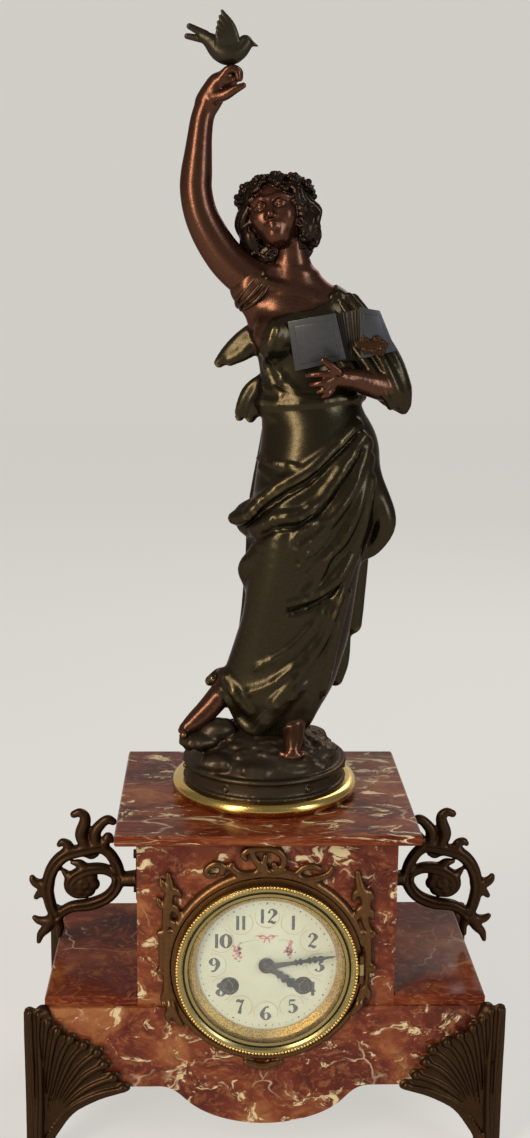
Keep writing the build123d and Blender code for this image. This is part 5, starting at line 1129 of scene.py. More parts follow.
def ground_form():
    ground = Sculpture(*GROUND_BOX, GROUND_STEP)
    x, y, z = ground.grid()
    out = np.hypot(x, y - GROUND_MIDDLE)
    dome = (z - np.interp(out, *np.transpose(GROUND_PROFILE))) * GROUND_SLOPE
    ground.value = np.minimum(dome, z - RIM)
    ground.keep(out - RIM_RADIUS + RIM_INSET, GROUND_FOOT - z)
    around = np.linspace(0.0, 2 * math.pi, RIM_PARTS + 1)
    for level, radius in RIM_BEADS:
        circle = [on_ground(RIM_RADIUS, angle, level) for angle in around]
        ground.add(rod(with_radii(circle, radius)), blend=1.0)
    for angle in angles(RIVETS):
        ground.add(egg(on_ground(RIM_RADIUS, angle, RIM - RIVET_DROP), RIVET_RADIUS), blend=0.4)
    chance = np.random.default_rng(GROUND_SEED)
    for place, radii in ROCKS:
        ground.add(egg(place, radii), blend=3.0)
        for _ in range(ROCK_LUMPS):
            way = chance.normal(0.0, 1.0, 3)
            spot = np.asarray(place) + LUMP_OUT * np.asarray(radii) * way / np.linalg.norm(way)
            ground.add(egg(spot, chance.uniform(*LUMP_SIZES)), blend=1.0)
    for _ in range(TURF):
        distance = TURF_REACH * math.sqrt(chance.uniform(*TURF_SPREAD))
        angle = chance.uniform(0.0, 2 * math.pi)
        level = np.interp(distance, *np.transpose(GROUND_PROFILE)) - TURF_SINK
        tuft = chance.uniform(*TURF_SIZES) * np.array(TURF_SHAPE)
        ground.add(egg(on_ground(distance, angle, level), tuft), blend=1.2)
    return ground


cast("ground_cast", ground_form(), ground_metal, ("ground",), reach=8)


# Book: two halves of cover and leaves on the CAD's corners, left then right
BOOK_LEFT = ((9.6, -17, 520), (37.7, -23, 525.4), (45.5, -18, 498), (15, -11.5, 490))
BOOK_RIGHT = ((52.5, -19, 529), (65.1, -17, 527), (76.6, -10.3, 502.8), (54.5, -14.5, 498))
HALVES = (BOOK_LEFT, BOOK_RIGHT)
COVER_THICK = 1.3
# A raised panel on each cover: its front, thickness and inset as a share of the cover
PANEL = (-0.5, 0.8, 0.24)
LEAF_BLOCK = 3.2
LEAF_INSET = 0.06
LEAF_STAGGER = 0.008
LEAF_LINES = 7
LEAF_SHARE = 0.8
# Leaves that fan out in the hollow between the covers
FAN_LEAVES = 9
FAN_SHARE = 0.86
FAN_SAG = 4.5
FAN_BACK = 1.5
FAN_DROP = 1.2
FAN_THICK = 2.2
COVER_BEVEL = 0.45
LEAF_BEVEL = 0.12
BOX_FACES = np.array(((0, 1, 2, 3), (7, 6, 5, 4), (0, 4, 5, 1), (1, 5, 6, 2), (2, 6, 7, 3), (3, 7, 4, 0)))


def corner_box(corners, start, depth, inset=0.0):
    """Eight corners of a plate between two depths behind four corners, drawn in by a share."""
    corners = np.asarray(corners, float)
    normal = np.cross(corners[1] - corners[0], corners[3] - corners[0])
    normal /= np.linalg.norm(normal)
    corners = corners + (corners.mean(0) - corners) * inset
    return np.vstack((corners + normal * start, corners + normal * (start + depth)))


def plates(name, corner_sets, material, bevel, nodes=()):
    """Plates in one piece, their edges rounded."""
    faces = np.vstack([BOX_FACES + 8 * i for i in range(len(corner_sets))])
    made = piece(name, np.vstack(corner_sets), faces.tolist(), material, "case", nodes)
    rounding = made.modifiers.new("edges", "BEVEL")
    rounding.width = bevel * MM
    rounding.segments = 3


def book_leaves():
    step = LEAF_BLOCK / LEAF_LINES
    leaves = [corner_box(half, COVER_THICK + i * step, step * LEAF_SHARE, LEAF_INSET + LEAF_STAGGER * (i % 2))
              for half in HALVES for i in range(LEAF_LINES)]
    left_edge = np.array((BOOK_LEFT[1], BOOK_LEFT[2]))
    right_edge = np.array((BOOK_RIGHT[0], BOOK_RIGHT[3]))
    for i in range(FAN_LEAVES):
        edges = []
        for share in (i / FAN_LEAVES, (i + FAN_SHARE) / FAN_LEAVES):
            sag = (0.0, FAN_BACK + FAN_SAG * math.sin(math.pi * share), -FAN_DROP)
            edges.append(left_edge + (right_edge - left_edge) * share + sag)
        near, far = edges
        leaves.append(corner_box((near[0], far[0], far[1], near[1]), 0.0, FAN_THICK))
    return leaves


covers = [corner_box(half, 0.0, COVER_THICK) for half in HALVES]
covers += [corner_box(half, *PANEL) for half in HALVES]
plates("book_covers", covers, book_metal, COVER_BEVEL, ("book",))
# The leaves' darker finish is painted shade of the hollow between the covers
plates("book_leaves", book_leaves(), page_metal_with_shade, LEAF_BEVEL)

# Posy on the book: flowers at pixels of the photo, with shares of a flower's radius
POSY = ((358, 345), (364, 340), (371, 344), (377, 340), (384, 345), (366, 350), (374, 351), (381, 352))
POSY_RADIUS = 2.3
POSY_DEPTH = -15.8
POSY_HEART = 0.7
POSY_PETALS = 5
POSY_TURN = 0.3
PETAL_OUT = 0.75
PETAL_FRONT = 0.15
PETAL_SHAPE = np.array((0.55, 0.4, 0.55))
STEM_FLOWERS = [0, 2, 4]
STEM_BEHIND = (0.0, 1.5, 0.0)
STEM_RADII = (2.4, 3.0, 2.2)
POSY_ROOM = 7.0
POSY_STEP = 0.4


def posy_form():
    spots = seen_at(POSY, POSY_DEPTH)
    posy = Sculpture(spots.min(0) - POSY_ROOM, spots.max(0) + POSY_ROOM, POSY_STEP)
    for i, spot in enumerate(spots):
        posy.add(egg(spot, POSY_RADIUS * POSY_HEART), blend=0.5)
        for j in range(POSY_PETALS):
            angle = 2 * math.pi * (j + POSY_TURN * i) / POSY_PETALS
            way = np.array((PETAL_OUT * math.cos(angle), -PETAL_FRONT, PETAL_OUT * math.sin(angle)))
            posy.add(egg(spot + POSY_RADIUS * way, POSY_RADIUS * PETAL_SHAPE), blend=0.4)
    posy.limbs((with_radii(spots[STEM_FLOWERS] + STEM_BEHIND, *STEM_RADII),), blend=1.0)
    return posy


cast("book_posy", posy_form(), bronze, reach=5)


# Corner feet: the front right one, mirrored for the others. Rows of x, y, z and radius
CORNER = (138.0, -69.5)
BASE_LEVELS = (46.5, 100.5)
FOOT_LEG = ((142, -73.5, 0, 7), (141, -72.5, 6, 7.2), (138.5, -70, 15, 6.2), (135.5, -67, 28, 6.2),
            (135, -66.5, 40, 7.2), (137, -68.5, 53, 7), (137.5, -69, 75, 6), (137.5, -69, 90, 5.5),
            (138.5, -70, 98, 5))
FOOT_TOE = (((144.5, -76, 4), (6, 6, 4.2)),
            ((140, -77, 3.5), (4.5, 4.5, 3.6)),
            ((146.5, -71, 3.5), (4.5, 4.5, 3.6)))
# Tips of the acanthus leaf's ribs on the front and the side, as distance from the corner and height
FRONT_TIPS = ((-8, 99.5), (-2.5, 98.5), (2.5, 93), (8.5, 87.5), (16.5, 82), (24.5, 77.5), (33, 72.5),
              (37, 64), (42.5, 55), (48.5, 47.5))
SIDE_TIPS = ((3, 96), (9, 88), (15, 81), (20, 73), (24.5, 64), (28.5, 54))
RIB_ROOTS = ((-5.5, 8), (8, 28))
# Shares of the way from root to tip across and up, bent over at the end
RIB_WAY = ((0, 0), (0.22, 0.42), (0.60, 0.80), (1, 1), (1.05, 0.97))
RIB_RADII = (1.9, 1.7, 1.5, 1.0)
RIB_LIFT = 2.0
LEAF_RADII = (6.5, 6.0, 4.6, 2.4)
TIP_CURL = (3.0, 2.6, 3.0)
TIP_LIFT = 0.6
RIB_GROOVE = (0.7, 1.3, 1.6, 0.8)
RIB_GROOVE_LIFT = 1.5
# Heights, and how far the leaf stands off the marble there
LEAF_RISE = ((0, 28, 46.5, 100), (4.5, 1, 2, 3.2))
FOOT_BOX = ((82, -86, -2), (156, -34, 106))
FOOT_STEP = 0.7
CORNERS = (
    ("front_right", (1, 1, 1)),
    ("front_left", (-1, 1, 1)),
    ("back_right", (1, -1, 1)),
    ("back_left", (-1, -1, 1)))


def on_front(along, rise, up):
    return np.column_stack((CORNER[0] - along, CORNER[1] - rise, up))


def on_side(along, rise, up):
    return np.column_stack((CORNER[0] + rise, CORNER[1] + along, up))


# The leaf on both faces of the corner: tips, their place, flattening and the way outward
LEAF_FACES = ((FRONT_TIPS, on_front, (1.0, 3.6, 1.0), (0.0, -1.0, 0.0)),
              (SIDE_TIPS, on_side, (3.6, 1.0, 1.0), (1.0, 0.0, 0.0)))


def foot_form():
    foot = Sculpture(*FOOT_BOX, FOOT_STEP)
    foot.limbs((FOOT_LEG,), blend=0.0)
    foot.eggs(FOOT_TOE, blend=2.5)
    for tips, place, flat, outward in LEAF_FACES:
        lift = RIB_LIFT * np.array(outward)
        ribs = []
        for root, tip in zip(np.linspace(*RIB_ROOTS, len(tips)), tips):
            along, up = (root + (np.asarray(tip) - root) * np.asarray(RIB_WAY)).T
            rib = place(along, np.interp(up, *LEAF_RISE), up)
            foot.limbs((with_radii(rib, *LEAF_RADII),), blend=1.6, weights=flat)
            foot.limbs((with_radii(rib + lift, *RIB_RADII),), blend=0.5)
            foot.add(egg(rib[-2] + TIP_LIFT * lift, TIP_CURL), blend=1.0)
            ribs.append(rib)
        for first, second in zip(ribs, ribs[1:]):
            groove = (first + second) / 2 + RIB_GROOVE_LIFT * lift
            foot.carve(rod(spline(with_radii(groove, *RIB_GROOVE))), blend=0.8)
    x, y, z = foot.grid()
    marble_gap = np.maximum(np.maximum(x - CORNER[0], CORNER[1] - y), between(z, *BASE_LEVELS))
    foot.keep(-marble_gap, -z)
    return foot


foot_shape = foot_form()
for corner, flip in CORNERS:
    cast("foot_cast_" + corner, foot_shape, bronze, ("foot_" + corner,), reach=8, flip=flip)

# Handles: the right one, mirrored for the left. Rows of x, z and radius
HANDLE_SCROLLS = (((107, 178, 3.2), (118, 176, 3.6), (131, 172, 3.8), (139, 163, 3.8), (142.5, 150, 3.6),
                   (141, 138, 3.4), (137.7, 128.7, 3.2)),
                  ((137.7, 128.7, 3), (127.5, 135.5, 3.2), (114.5, 137.5, 3.6), (103, 142.7, 3.6),
                   (96.6, 151.6, 3.6), (96, 162, 3.4), (100.5, 172, 3.2), (107, 178, 3.2)),
                  ((96.5, 157.7, 2.8), (105.7, 162.5, 3.2), (117, 161.6, 3.6), (126, 156.3, 3.6),
                   (128, 150.2, 3.4), (124, 145.5, 3), (117.5, 145, 2.6)))
HANDLE_LEAVES = (
    ((116.8, 178, 3.4), (120, 186.5, 3.6), (117.5, 194.8, 3.4), (117.5, 199.3, 2.9), (120.7, 201.8, 2.5),
     (124.5, 200.6, 2.2)),
    ((110.5, 179, 3.2), (110.8, 188, 3.4), (106.7, 194, 3), (102.5, 197, 2.6), (99, 195.5, 2.2)),
    ((105.5, 178, 2.8), (102.6, 185, 2.6), (99.8, 182.5, 1.8)),
    ((130, 173.5, 3), (128.5, 179, 2.8), (132.3, 181.3, 2.2), (134.5, 179.5, 1.6)),
    ((142, 151.7, 3.2), (148, 151.8, 3), (151.6, 154.1, 2.4), (152.6, 156.4, 1.8)),
    ((142.7, 150, 2.8), (147.5, 145.7, 2.4), (150.3, 142.6, 1.6)),
    ((138, 130, 3), (143.2, 125.7, 3), (148.5, 126, 2.4), (151.6, 128, 1.6)),
    ((138, 129, 3.2), (143.3, 121, 3), (147.5, 116.4, 2.4), (149.3, 110.8, 1.4)),
    ((136.5, 128.5, 2.8), (134.8, 121, 2.4), (135.6, 115.2, 1.5)),
    ((120, 176, 2.4), (114, 171.5, 2), (110, 172.5, 1.4)),
    ((117, 161.5, 3), (121, 166, 2.6), (126, 167, 1.4)),
    ((126, 155, 2.8), (130, 159, 2.2), (132.5, 162, 1.2)))
HANDLE_FIXING = ((81, 156, 4.6), (88, 155.5, 4.4), (96, 155, 3.6))
HANDLE_PAD = ((80, 84), (-8, 8), (143, 179))
# Strokes with their flattening in depth
STROKES = ((HANDLE_SCROLLS, 0.88), (HANDLE_LEAVES, 1.0), ((HANDLE_FIXING,), 0.8))
HANDLE_FULLNESS = 1.16
# The hollow along both faces of a scroll: how far off its surface the carving bar runs, and its share
SCROLL_GROOVE_OUT = 0.9
SCROLL_GROOVE = 0.46
ROSETTE = (118.5, 152.8)
ROSETTE_RADIUS = 9.6
ROSETTE_PETALS = 7
# Rings of petals: their reach and size as shares of the rosette's radius
ROSETTE_RINGS = ((0.62, 0.48), (0.25, 0.34))
ROSETTE_DEPTH = 3.0
ROSETTE_DOME = 2.0
ROSETTE_STEM = ((ROSETTE[0], 0.0, ROSETTE[1], 2.4), (124.0, 0.0, 147.0, 2.4))
HANDLE_BOX = ((76, -12, 104), (158, 12, 210))
HANDLE_STEP = 0.75


def handle_form():
    handle = Sculpture(*HANDLE_BOX, HANDLE_STEP)
    for strokes, flat in STROKES:
        for stroke in strokes:
            x, z, radius = np.transpose(stroke)
            rows = np.column_stack((x, 0 * x, z, radius * HANDLE_FULLNESS))
            handle.limbs((rows,), blend=1.6, weights=(1.0, flat, 1.0))
    for stroke in HANDLE_SCROLLS:
        x, z, radius = np.transpose(stroke)
        for side in (-1, 1):
            depth = side * (radius * HANDLE_FULLNESS + SCROLL_GROOVE_OUT)
            groove = np.column_stack((x, depth, z, radius * SCROLL_GROOVE))
            handle.carve(rod(spline(groove)), blend=0.6)
    for angle in angles(ROSETTE_PETALS):
        for reach, size in ROSETTE_RINGS:
            petal = (ROSETTE[0] + reach * ROSETTE_RADIUS * math.cos(angle + reach), 0.0,
                     ROSETTE[1] + reach * ROSETTE_RADIUS * math.sin(angle + reach))
            deep = ROSETTE_DEPTH + ROSETTE_DOME * (1.0 - reach)
            handle.add(egg(petal, (size * ROSETTE_RADIUS, deep, size * ROSETTE_RADIUS)), blend=0.5)
    handle.bars((ROSETTE_STEM,), blend=1.0)
    x, y, z = handle.grid()
    across, depth, height = HANDLE_PAD
    pad = np.maximum(np.maximum(between(x, *across), between(y, *depth)), between(z, *height))
    handle.value = smooth_min(handle.value, pad, blend=1.2)
    handle.keep(across[0] - x)
    return handle


handle_shape = handle_form()
for side, flip in (("right", (1, 1, 1)), ("left", (-1, 1, 1))):
    cast("handle_cast_" + side, handle_shape, bronze, ("handle_" + side,), reach=6, flip=flip)

# Ornament round the dial: a rounded ring, and leaves and scrolls at pixels of the photo with radii along them
DIAL_HEIGHT = 128.0
SURROUND_RING = ((60.4, -68.4, 3), (61, -66.5, 3.6))
SCROLL_DEPTH = -69.0
SCROLLS = (
    ((1.3, 1.9, 2.2, 2.2, 1.9, 1.6, 1.5),
     ((245.9, 859.5), (242.9, 855), (247.4, 850.5), (257.9, 848.2), (269.9, 848.2), (278.9, 852),
      (284.1, 859.5), (281.9, 867), (275.9, 868.5), (273.7, 864))),
    ((1.5, 1.9, 1.7), ((265.4, 856), (263.9, 864), (265.4, 870), (269.9, 874.5))),
    ((1.6, 1.8, 1.3), ((252, 853), (255, 860), (259, 866), (257, 872))),
    ((1.9, 2, 1.6, 1.4),
     ((221.9, 873), (223.4, 867), (217.4, 864), (210, 866.2), (205.5, 871.5), (208.5, 876),
      (214.4, 875.2))),
    ((1.4, 2.2, 2.2, 1.5),
     ((265.4, 867), (260.9, 873), (251.9, 875.2), (239.9, 873.7), (230.9, 867), (232.4, 864))),
    ((1.6, 2.2, 2.2, 1.4),
     ((274.4, 876), (284.9, 872.2), (293.9, 875.2), (304.4, 879.7), (317.9, 878.2), (328.4, 873.7),
      (332, 867.7))),
    ((1.6, 1.9, 1.4), ((296, 874), (303, 868), (312, 866), (320, 869))),
    ((1.4, 2.6, 3, 2.4, 1.8), ((168, 874), (170, 888), (168, 904), (166.5, 920), (165, 932))),
    ((2.2, 2.2, 1.2), ((170, 890), (176, 891), (181, 896))),
    ((2.2, 2.2, 1.2), ((168, 890), (163, 886), (161, 880))),
    ((2.2, 2.2, 1.2), ((168, 906), (175, 908), (179, 915))),
    ((2, 2, 1.2), ((167, 906), (161, 905), (158, 899))),
    ((2, 2, 1.2), ((166, 920), (173, 924), (175, 931))),
    ((1.6, 1.7, 1.6), ((161.8, 934), (161.6, 952), (161.8, 970))),
    ((1.6, 1.7, 1.6), ((168, 934), (167.8, 952), (168, 970))),
    ((1.8, 1.9, 1.8), ((159.5, 933), (165, 932.5), (171, 933))),
    ((1.8, 1.9, 1.8), ((159.5, 971), (165, 971.5), (171, 971))),
    ((2, 2.8, 2.8, 1.4), ((166.5, 975), (168, 990), (172.5, 1008), (181.5, 1023))),
    ((1.9, 2, 1.1), ((168, 988), (164, 996), (163, 1003))),
    ((1.9, 2, 1.1), ((172, 1005), (168, 1013), (169, 1020))),
    ((1.4, 2.6, 3, 2.4, 1.8), ((357.6, 872), (359.8, 885), (365.8, 900), (364.3, 918), (368.8, 931))),
    ((2.2, 2.2, 1.2), ((361, 890), (356, 893), (353, 900))),
    ((2.2, 2.2, 1.2), ((363, 892), (369, 893), (373, 898))),
    ((2.2, 2.2, 1.2), ((365, 905), (359, 910), (357, 917))),
    ((2, 2, 1.2), ((365, 908), (371, 912), (373, 918))),
    ((1.6, 1.7, 1.6), ((362.6, 936), (362.4, 951), (362.6, 966))),
    ((1.6, 1.7, 1.6), ((368.8, 936), (368.6, 951), (368.8, 966))),
    ((1.8, 1.9, 2.4), ((360, 934.5), (366, 934), (372.5, 933.7))),
    ((1.8, 1.9, 2.4), ((360, 967.5), (366, 967.5), (372.5, 967.4))),
    ((2, 2.8, 2.8, 1.4), ((365.8, 971), (362.8, 987), (358.3, 1002), (351, 1012))),
    ((1.9, 2, 1.1), ((363, 985), (368, 992), (369, 999))),
    ((1.8, 2, 1.4), ((246, 1060), (262, 1064), (280, 1060))))
SCROLL_FULLNESS = 1.2
HINGE_ROOM = ((58.4, -73.1, 116.5, 3.2), (58.4, -73.1, 139.5, 3.2))
SURROUND_BORE = 59.3
# Below this height the base's wall stands in front of the pedestal's, and the scrolls on it too
BASE_TOP = 104.0
BASE_WALL = -69.5
PEDESTAL_WALL = -67.0
BASE_SCROLL_DEPTH = -71.0
SURROUND_BOX = ((-86, -78, 54), (86, -64, 212))
SURROUND_STEP = 0.75
RING_PARTS = 96


def ring_rows(radius, depth, thick):
    around = np.linspace(0.0, 2 * math.pi, RING_PARTS + 1)
    return with_radii(np.column_stack((radius * np.cos(around), np.full(len(around), depth),
                                       DIAL_HEIGHT + radius * np.sin(around))), thick)


def surround_form():
    form = Sculpture(*SURROUND_BOX, SURROUND_STEP)
    form.bars([ring_rows(*ring) for ring in SURROUND_RING], blend=1.5)
    for radii, pixels in SCROLLS:
        points = spline(seen_at(pixels, SCROLL_DEPTH), 4)
        points[:, 1] = np.where(points[:, 2] < BASE_TOP, BASE_SCROLL_DEPTH, SCROLL_DEPTH)
        form.add(rod(with_radii(points, *(SCROLL_FULLNESS * np.array(radii)))), blend=1.2)
    form.carve(rod(HINGE_ROOM), blend=0.3)
    x, y, z = form.grid()
    wall = np.where(z < BASE_TOP, BASE_WALL, PEDESTAL_WALL)
    form.keep(y - wall, SURROUND_BORE - np.hypot(x, z - DIAL_HEIGHT))
    return form


cast("dial_surround_cast", surround_form(), surround_bronze, ("dial_surround",), reach=6)

# Dial print, laid just in front of the enamel
PRINT_FRONT = -67.56
NUMERAL_RADIUS = 32.5
NUMERAL_HEIGHT = 9.4
NUMERAL_WEIGHT = 1.2
# Digits of an hour stand this far apart, as a share of their height
NUMERAL_GAP = 0.62
ELEVEN_GAP = 0.40
# A thin line half round the inner side of each numeral
ARC_RADIUS = 7.6
ARC_HALF = 1.9
ARC_POINTS = 15
ARC_WEIGHT = 0.13
MINUTE_CIRCLE = 41.0
HOUR_DOT = 0.55
MINUTE_DOT = 0.36
# Strokes of each digit: across, up and half width, as shares of the digit's height
DIGITS = {
    "0": (((0, .50, .03), (-.22, .28, .10), (-.27, 0, .13), (-.22, -.28, .10), (0, -.50, .03),
           (.22, -.28, .10), (.27, 0, .13), (.22, .28, .10), (0, .50, .03)),),
    "1": (((0, .50, .085), (0, 0, .085), (0, -.50, .085)),),
    "2": (((-.20, .22, .08), (-.13, .43, .04), (.06, .48, .05), (.23, .26, .12), (.08, .00, .06),
           (-.14, -.26, .03), (-.25, -.43, .04)),
          ((-.25, -.42, .04), (-.06, -.37, .08), (.12, -.46, .08), (.27, -.36, .03))),
    "3": (((-.21, .34, .07), (-.02, .49, .03), (.20, .28, .11), (.00, .05, .03)),
          ((.00, .05, .03), (.25, -.20, .13), (.00, -.49, .03), (-.23, -.32, .08))),
    "4": (((.10, .50, .03), (-.09, .17, .03), (-.27, -.15, .03)),
          ((-.29, -.16, .05), (0, -.16, .05), (.30, -.16, .05)),
          ((.10, .50, .09), (.10, 0, .09), (.10, -.50, .09))),
    "5": (((-.16, .45, .05), (.02, .43, .07), (.22, .47, .04)),
          ((-.16, .46, .03), (-.17, .25, .03), (-.18, .06, .03)),
          ((-.18, .06, .03), (.04, .15, .05), (.25, -.14, .13), (.04, -.48, .03), (-.22, -.34, .08))),
    "6": (((.18, .42, .06), (-.02, .40, .05), (-.20, .12, .10), (-.25, -.14, .13), (-.14, -.40, .07),
           (.05, -.50, .03), (.23, -.24, .11), (.08, .02, .03), (-.14, -.12, .03)),),
    "7": (((-.25, .34, .04), (-.12, .46, .08), (.06, .38, .08), (.25, .50, .03)),
          ((.25, .50, .03), (.07, .06, .05), (-.04, -.50, .11))),
    "8": (((0, .49, .03), (-.18, .28, .10), (0, .05, .04), (.18, .28, .10), (0, .49, .03)),
          ((0, .05, .04), (-.23, -.22, .12), (0, -.49, .03), (.23, -.22, .12), (0, .05, .04)))}
# The nine is the six turned round
DIGITS["9"] = [np.array(stroke) * (-1, -1, 1) for stroke in DIGITS["6"]]


class Print:
    """Flat printed shapes on the dial, placed across and up from its middle."""

    def __init__(self):
        self.vertices = []
        self.faces = []

    def ribbon(self, rows, per_span=5):
        """A line through rows of across, up and half width."""
        rows = spline(rows, per_span)
        along = np.gradient(rows[:, :2], axis=0)
        along /= np.maximum(np.linalg.norm(along, axis=1, keepdims=True), 1e-9)
        aside = np.column_stack((-along[:, 1], along[:, 0])) * rows[:, 2:]
        start = len(self.vertices)
        for left, right in zip(rows[:, :2] + aside, rows[:, :2] - aside):
            self.vertices += [tuple(left), tuple(right)]
        first = [start + 2 * i for i in range(len(rows) - 1)]
        self.faces += [(i, i + 1, i + 3, i + 2) for i in first]

    def spot(self, middle, radius, sides=14):
        start = len(self.vertices)
        self.vertices += [(middle[0] + radius * math.cos(angle), middle[1] + radius * math.sin(angle))
                          for angle in angles(sides)]
        self.faces.append(tuple(range(start, start + sides)))

    def lay(self, name, material, lift=0.0):
        across, up = np.transpose(self.vertices)
        vertices = np.column_stack((across, np.full(len(across), PRINT_FRONT - lift), DIAL_HEIGHT + up))
        piece(name, vertices, self.faces, material, "case", smooth=False)


def clock_angle(hour):
    return math.pi / 2 - 2 * math.pi * hour / 12


def print_hours():
    numerals = Print()
    arcs = Print()
    for hour in range(1, 13):
        angle = clock_angle(hour)
        middle = NUMERAL_RADIUS * np.array((math.cos(angle), math.sin(angle)))
        text = str(hour)
        gap = ELEVEN_GAP if text == "11" else NUMERAL_GAP
        for i, digit in enumerate(text):
            shift = (i - (len(text) - 1) / 2) * gap * NUMERAL_HEIGHT
            for stroke in DIGITS[digit]:
                rows = np.array(stroke) * (NUMERAL_HEIGHT, NUMERAL_HEIGHT, NUMERAL_HEIGHT * NUMERAL_WEIGHT)
                numerals.ribbon(rows + (middle[0] + shift, middle[1], 0.0))
        sweep = angle + math.pi + np.linspace(-ARC_HALF, ARC_HALF, ARC_POINTS)
        line = middle + ARC_RADIUS * np.column_stack((np.cos(sweep), np.sin(sweep)))
        arcs.ribbon(with_radii(line, ARC_WEIGHT), 2)
    numerals.lay("dial_numerals", ink)
    arcs.lay("dial_arcs", gold_line)


def print_minutes():
    dots = Print()
    for minute in range(60):
        angle = clock_angle(minute / 5)
        dots.spot((MINUTE_CIRCLE * math.cos(angle), MINUTE_CIRCLE * math.sin(angle)),
                  MINUTE_DOT if minute % 5 else HOUR_DOT)
    dots.lay("dial_minutes", ink)


print_hours()
print_minutes()

# Two sprays of roses that hang from a bow, in places across and up from the dial's middle
ROSES = ((-17.7, 8.6), (13.9, 10.5))
ROSE_SEED = 11
ROSE_PETALS = 16
ROSE_SPREAD = (1.5, 2.6)
ROSE_SIZES = (0.7, 1.15)
ROSE_SIDES = 9
ROSE_LIFT = 0.02
ROSE_LEAVES = 12
LEAF_SPREAD = (1.4, 3.4)
LEAF_LEAN = 1.3
LEAF_SIZE = (2.4, 2.8)
LEAF_WEIGHTS = (0.10, 0.42, 0.06)
# A stalk runs from above the rose, past a bend out from it, to below the bow's end
STALK_START = 3.0
STALK_BEND = (1.5, 6.0)
STALK_END = (7.5, 1.5)
STALK_WEIGHTS = (0.16, 0.13, 0.10)
BOW_HEIGHT = 18.3
# Right half of the bow, in rows of across, up from the knot, and half width
BOW = (((0, 0, .25), (2.5, 1.4, .65), (4.6, .6, .5), (2.6, -.7, .3), (0, 0, .25)),
       ((0, 0, .3), (1.4, -1.8, .45), (1.8, -4.0, .2)),
       ((3.0, .6, .2), (5.5, 1.2, .35), (7.6, 1.0, .1)))


def print_roses():
    petals = Print()
    sprigs = Print()
    chance = np.random.default_rng(ROSE_SEED)
    for rose in ROSES:
        for _ in range(ROSE_PETALS):
            spot = np.array(rose) + chance.normal(0.0, 1.0, 2) * ROSE_SPREAD
            petals.spot(spot, chance.uniform(*ROSE_SIZES), ROSE_SIDES)
        for _ in range(ROSE_LEAVES):
            start = np.array(rose) + chance.normal(0.0, 1.0, 2) * LEAF_SPREAD
            lean = chance.uniform(-LEAF_LEAN, LEAF_LEAN)
            upward = math.copysign(math.cos(lean), chance.uniform(-1.0, 1.0))
            tip = start + (LEAF_SIZE[0] * math.sin(lean), LEAF_SIZE[1] * upward)
            sprigs.ribbon(with_radii((start, (start + tip) / 2, tip), *LEAF_WEIGHTS), 3)
        side = math.copysign(1.0, rose[0])
        across, up = rose
        stalk = ((across, up + STALK_START), (across - side * STALK_BEND[0], up + STALK_BEND[1]),
                 (side * STALK_END[0], BOW_HEIGHT - STALK_END[1]))
        sprigs.ribbon(with_radii(stalk, *STALK_WEIGHTS))
    for side in (-1, 1):
        for rows in BOW:
            petals.ribbon(np.array(rows) * (side, 1, 1) + (0, BOW_HEIGHT, 0), 4)
    sprigs.lay("dial_leaves", leaf_print)
    petals.lay("dial_roses", rose_print, ROSE_LIFT)


print_roses()

# Collars of the winding holes and the dark hollow inside the bezel
HOLES = ((23.0, -14.0), (-23.0, -14.0))
COLLAR_RADIUS = 5.25
COLLAR_DEPTH = -67.55
COLLAR_HALF = (0.75, 0.40)
COLLAR_SIDES = 14
COLLAR_PARTS = 48
# Closed profile of the hollow, in radius and depth
HOLLOW = ((51.6, -75.4), (50.6, -74.9), (49.4, -74.75), (48.5, -75.0), (48.5, -75.3), (49.4, -75.15),
          (50.6, -75.35), (51.6, -76.0))


def turned_ring(name, profile, middle, material, body, parts):
    """A ring turned about the depth axis from a closed profile of radius and depth."""
    vertices = [(middle[0] + r * math.cos(angle), y, DIAL_HEIGHT + middle[1] + r * math.sin(angle))
                for angle in angles(parts) for r, y in profile]
    count = len(profile)
    faces = []
    for i in range(parts):
        here, there = i * count, (i + 1) % parts * count
        for j in range(count):
            after = (j + 1) % count
            faces.append((here + j, here + after, there + after, there + j))
    piece(name, vertices, faces, material, body)


collar = [(COLLAR_RADIUS + COLLAR_HALF[0] * math.cos(angle), COLLAR_DEPTH + COLLAR_HALF[1] * math.sin(angle))
          for angle in angles(COLLAR_SIDES)]
for i, hole in enumerate(HOLES):
    turned_ring(f"winding_collar_{i + 1}", collar, hole, dark_steel, "case", COLLAR_PARTS)
turned_ring("bezel_hollow", HOLLOW, (0.0, 0.0), bronze, "bezel_door", RING_PARTS)

# Row of small beads along the bezel's front edge
BEADS = 168
BEAD_CIRCLE = 55.5
BEAD_RADIUS = 1.05
BEAD_DEPTH = -76.3
BEAD_RINGS = 5
BEAD_SIDES = 8


def bead(middle):
    """Vertices of one bead, ring after ring from its front pole."""
    for j in range(BEAD_RINGS):
        tilt = math.pi * (j + 0.5) / BEAD_RINGS
        for turn in angles(BEAD_SIDES):
            yield middle + BEAD_RADIUS * np.array((math.sin(tilt) * math.cos(turn), -math.cos(tilt),
                                                   math.sin(tilt) * math.sin(turn)))


def bead_faces(start):
    sides = range(BEAD_SIDES)
    for j in range(BEAD_RINGS - 1):
        here, there = start + j * BEAD_SIDES, start + (j + 1) * BEAD_SIDES
        for k in sides:
            after = (k + 1) % BEAD_SIDES
            yield here + k, there + k, there + after, here + after
    yield tuple(start + k for k in sides)
    yield tuple(start + (BEAD_RINGS - 1) * BEAD_SIDES + k for k in reversed(sides))


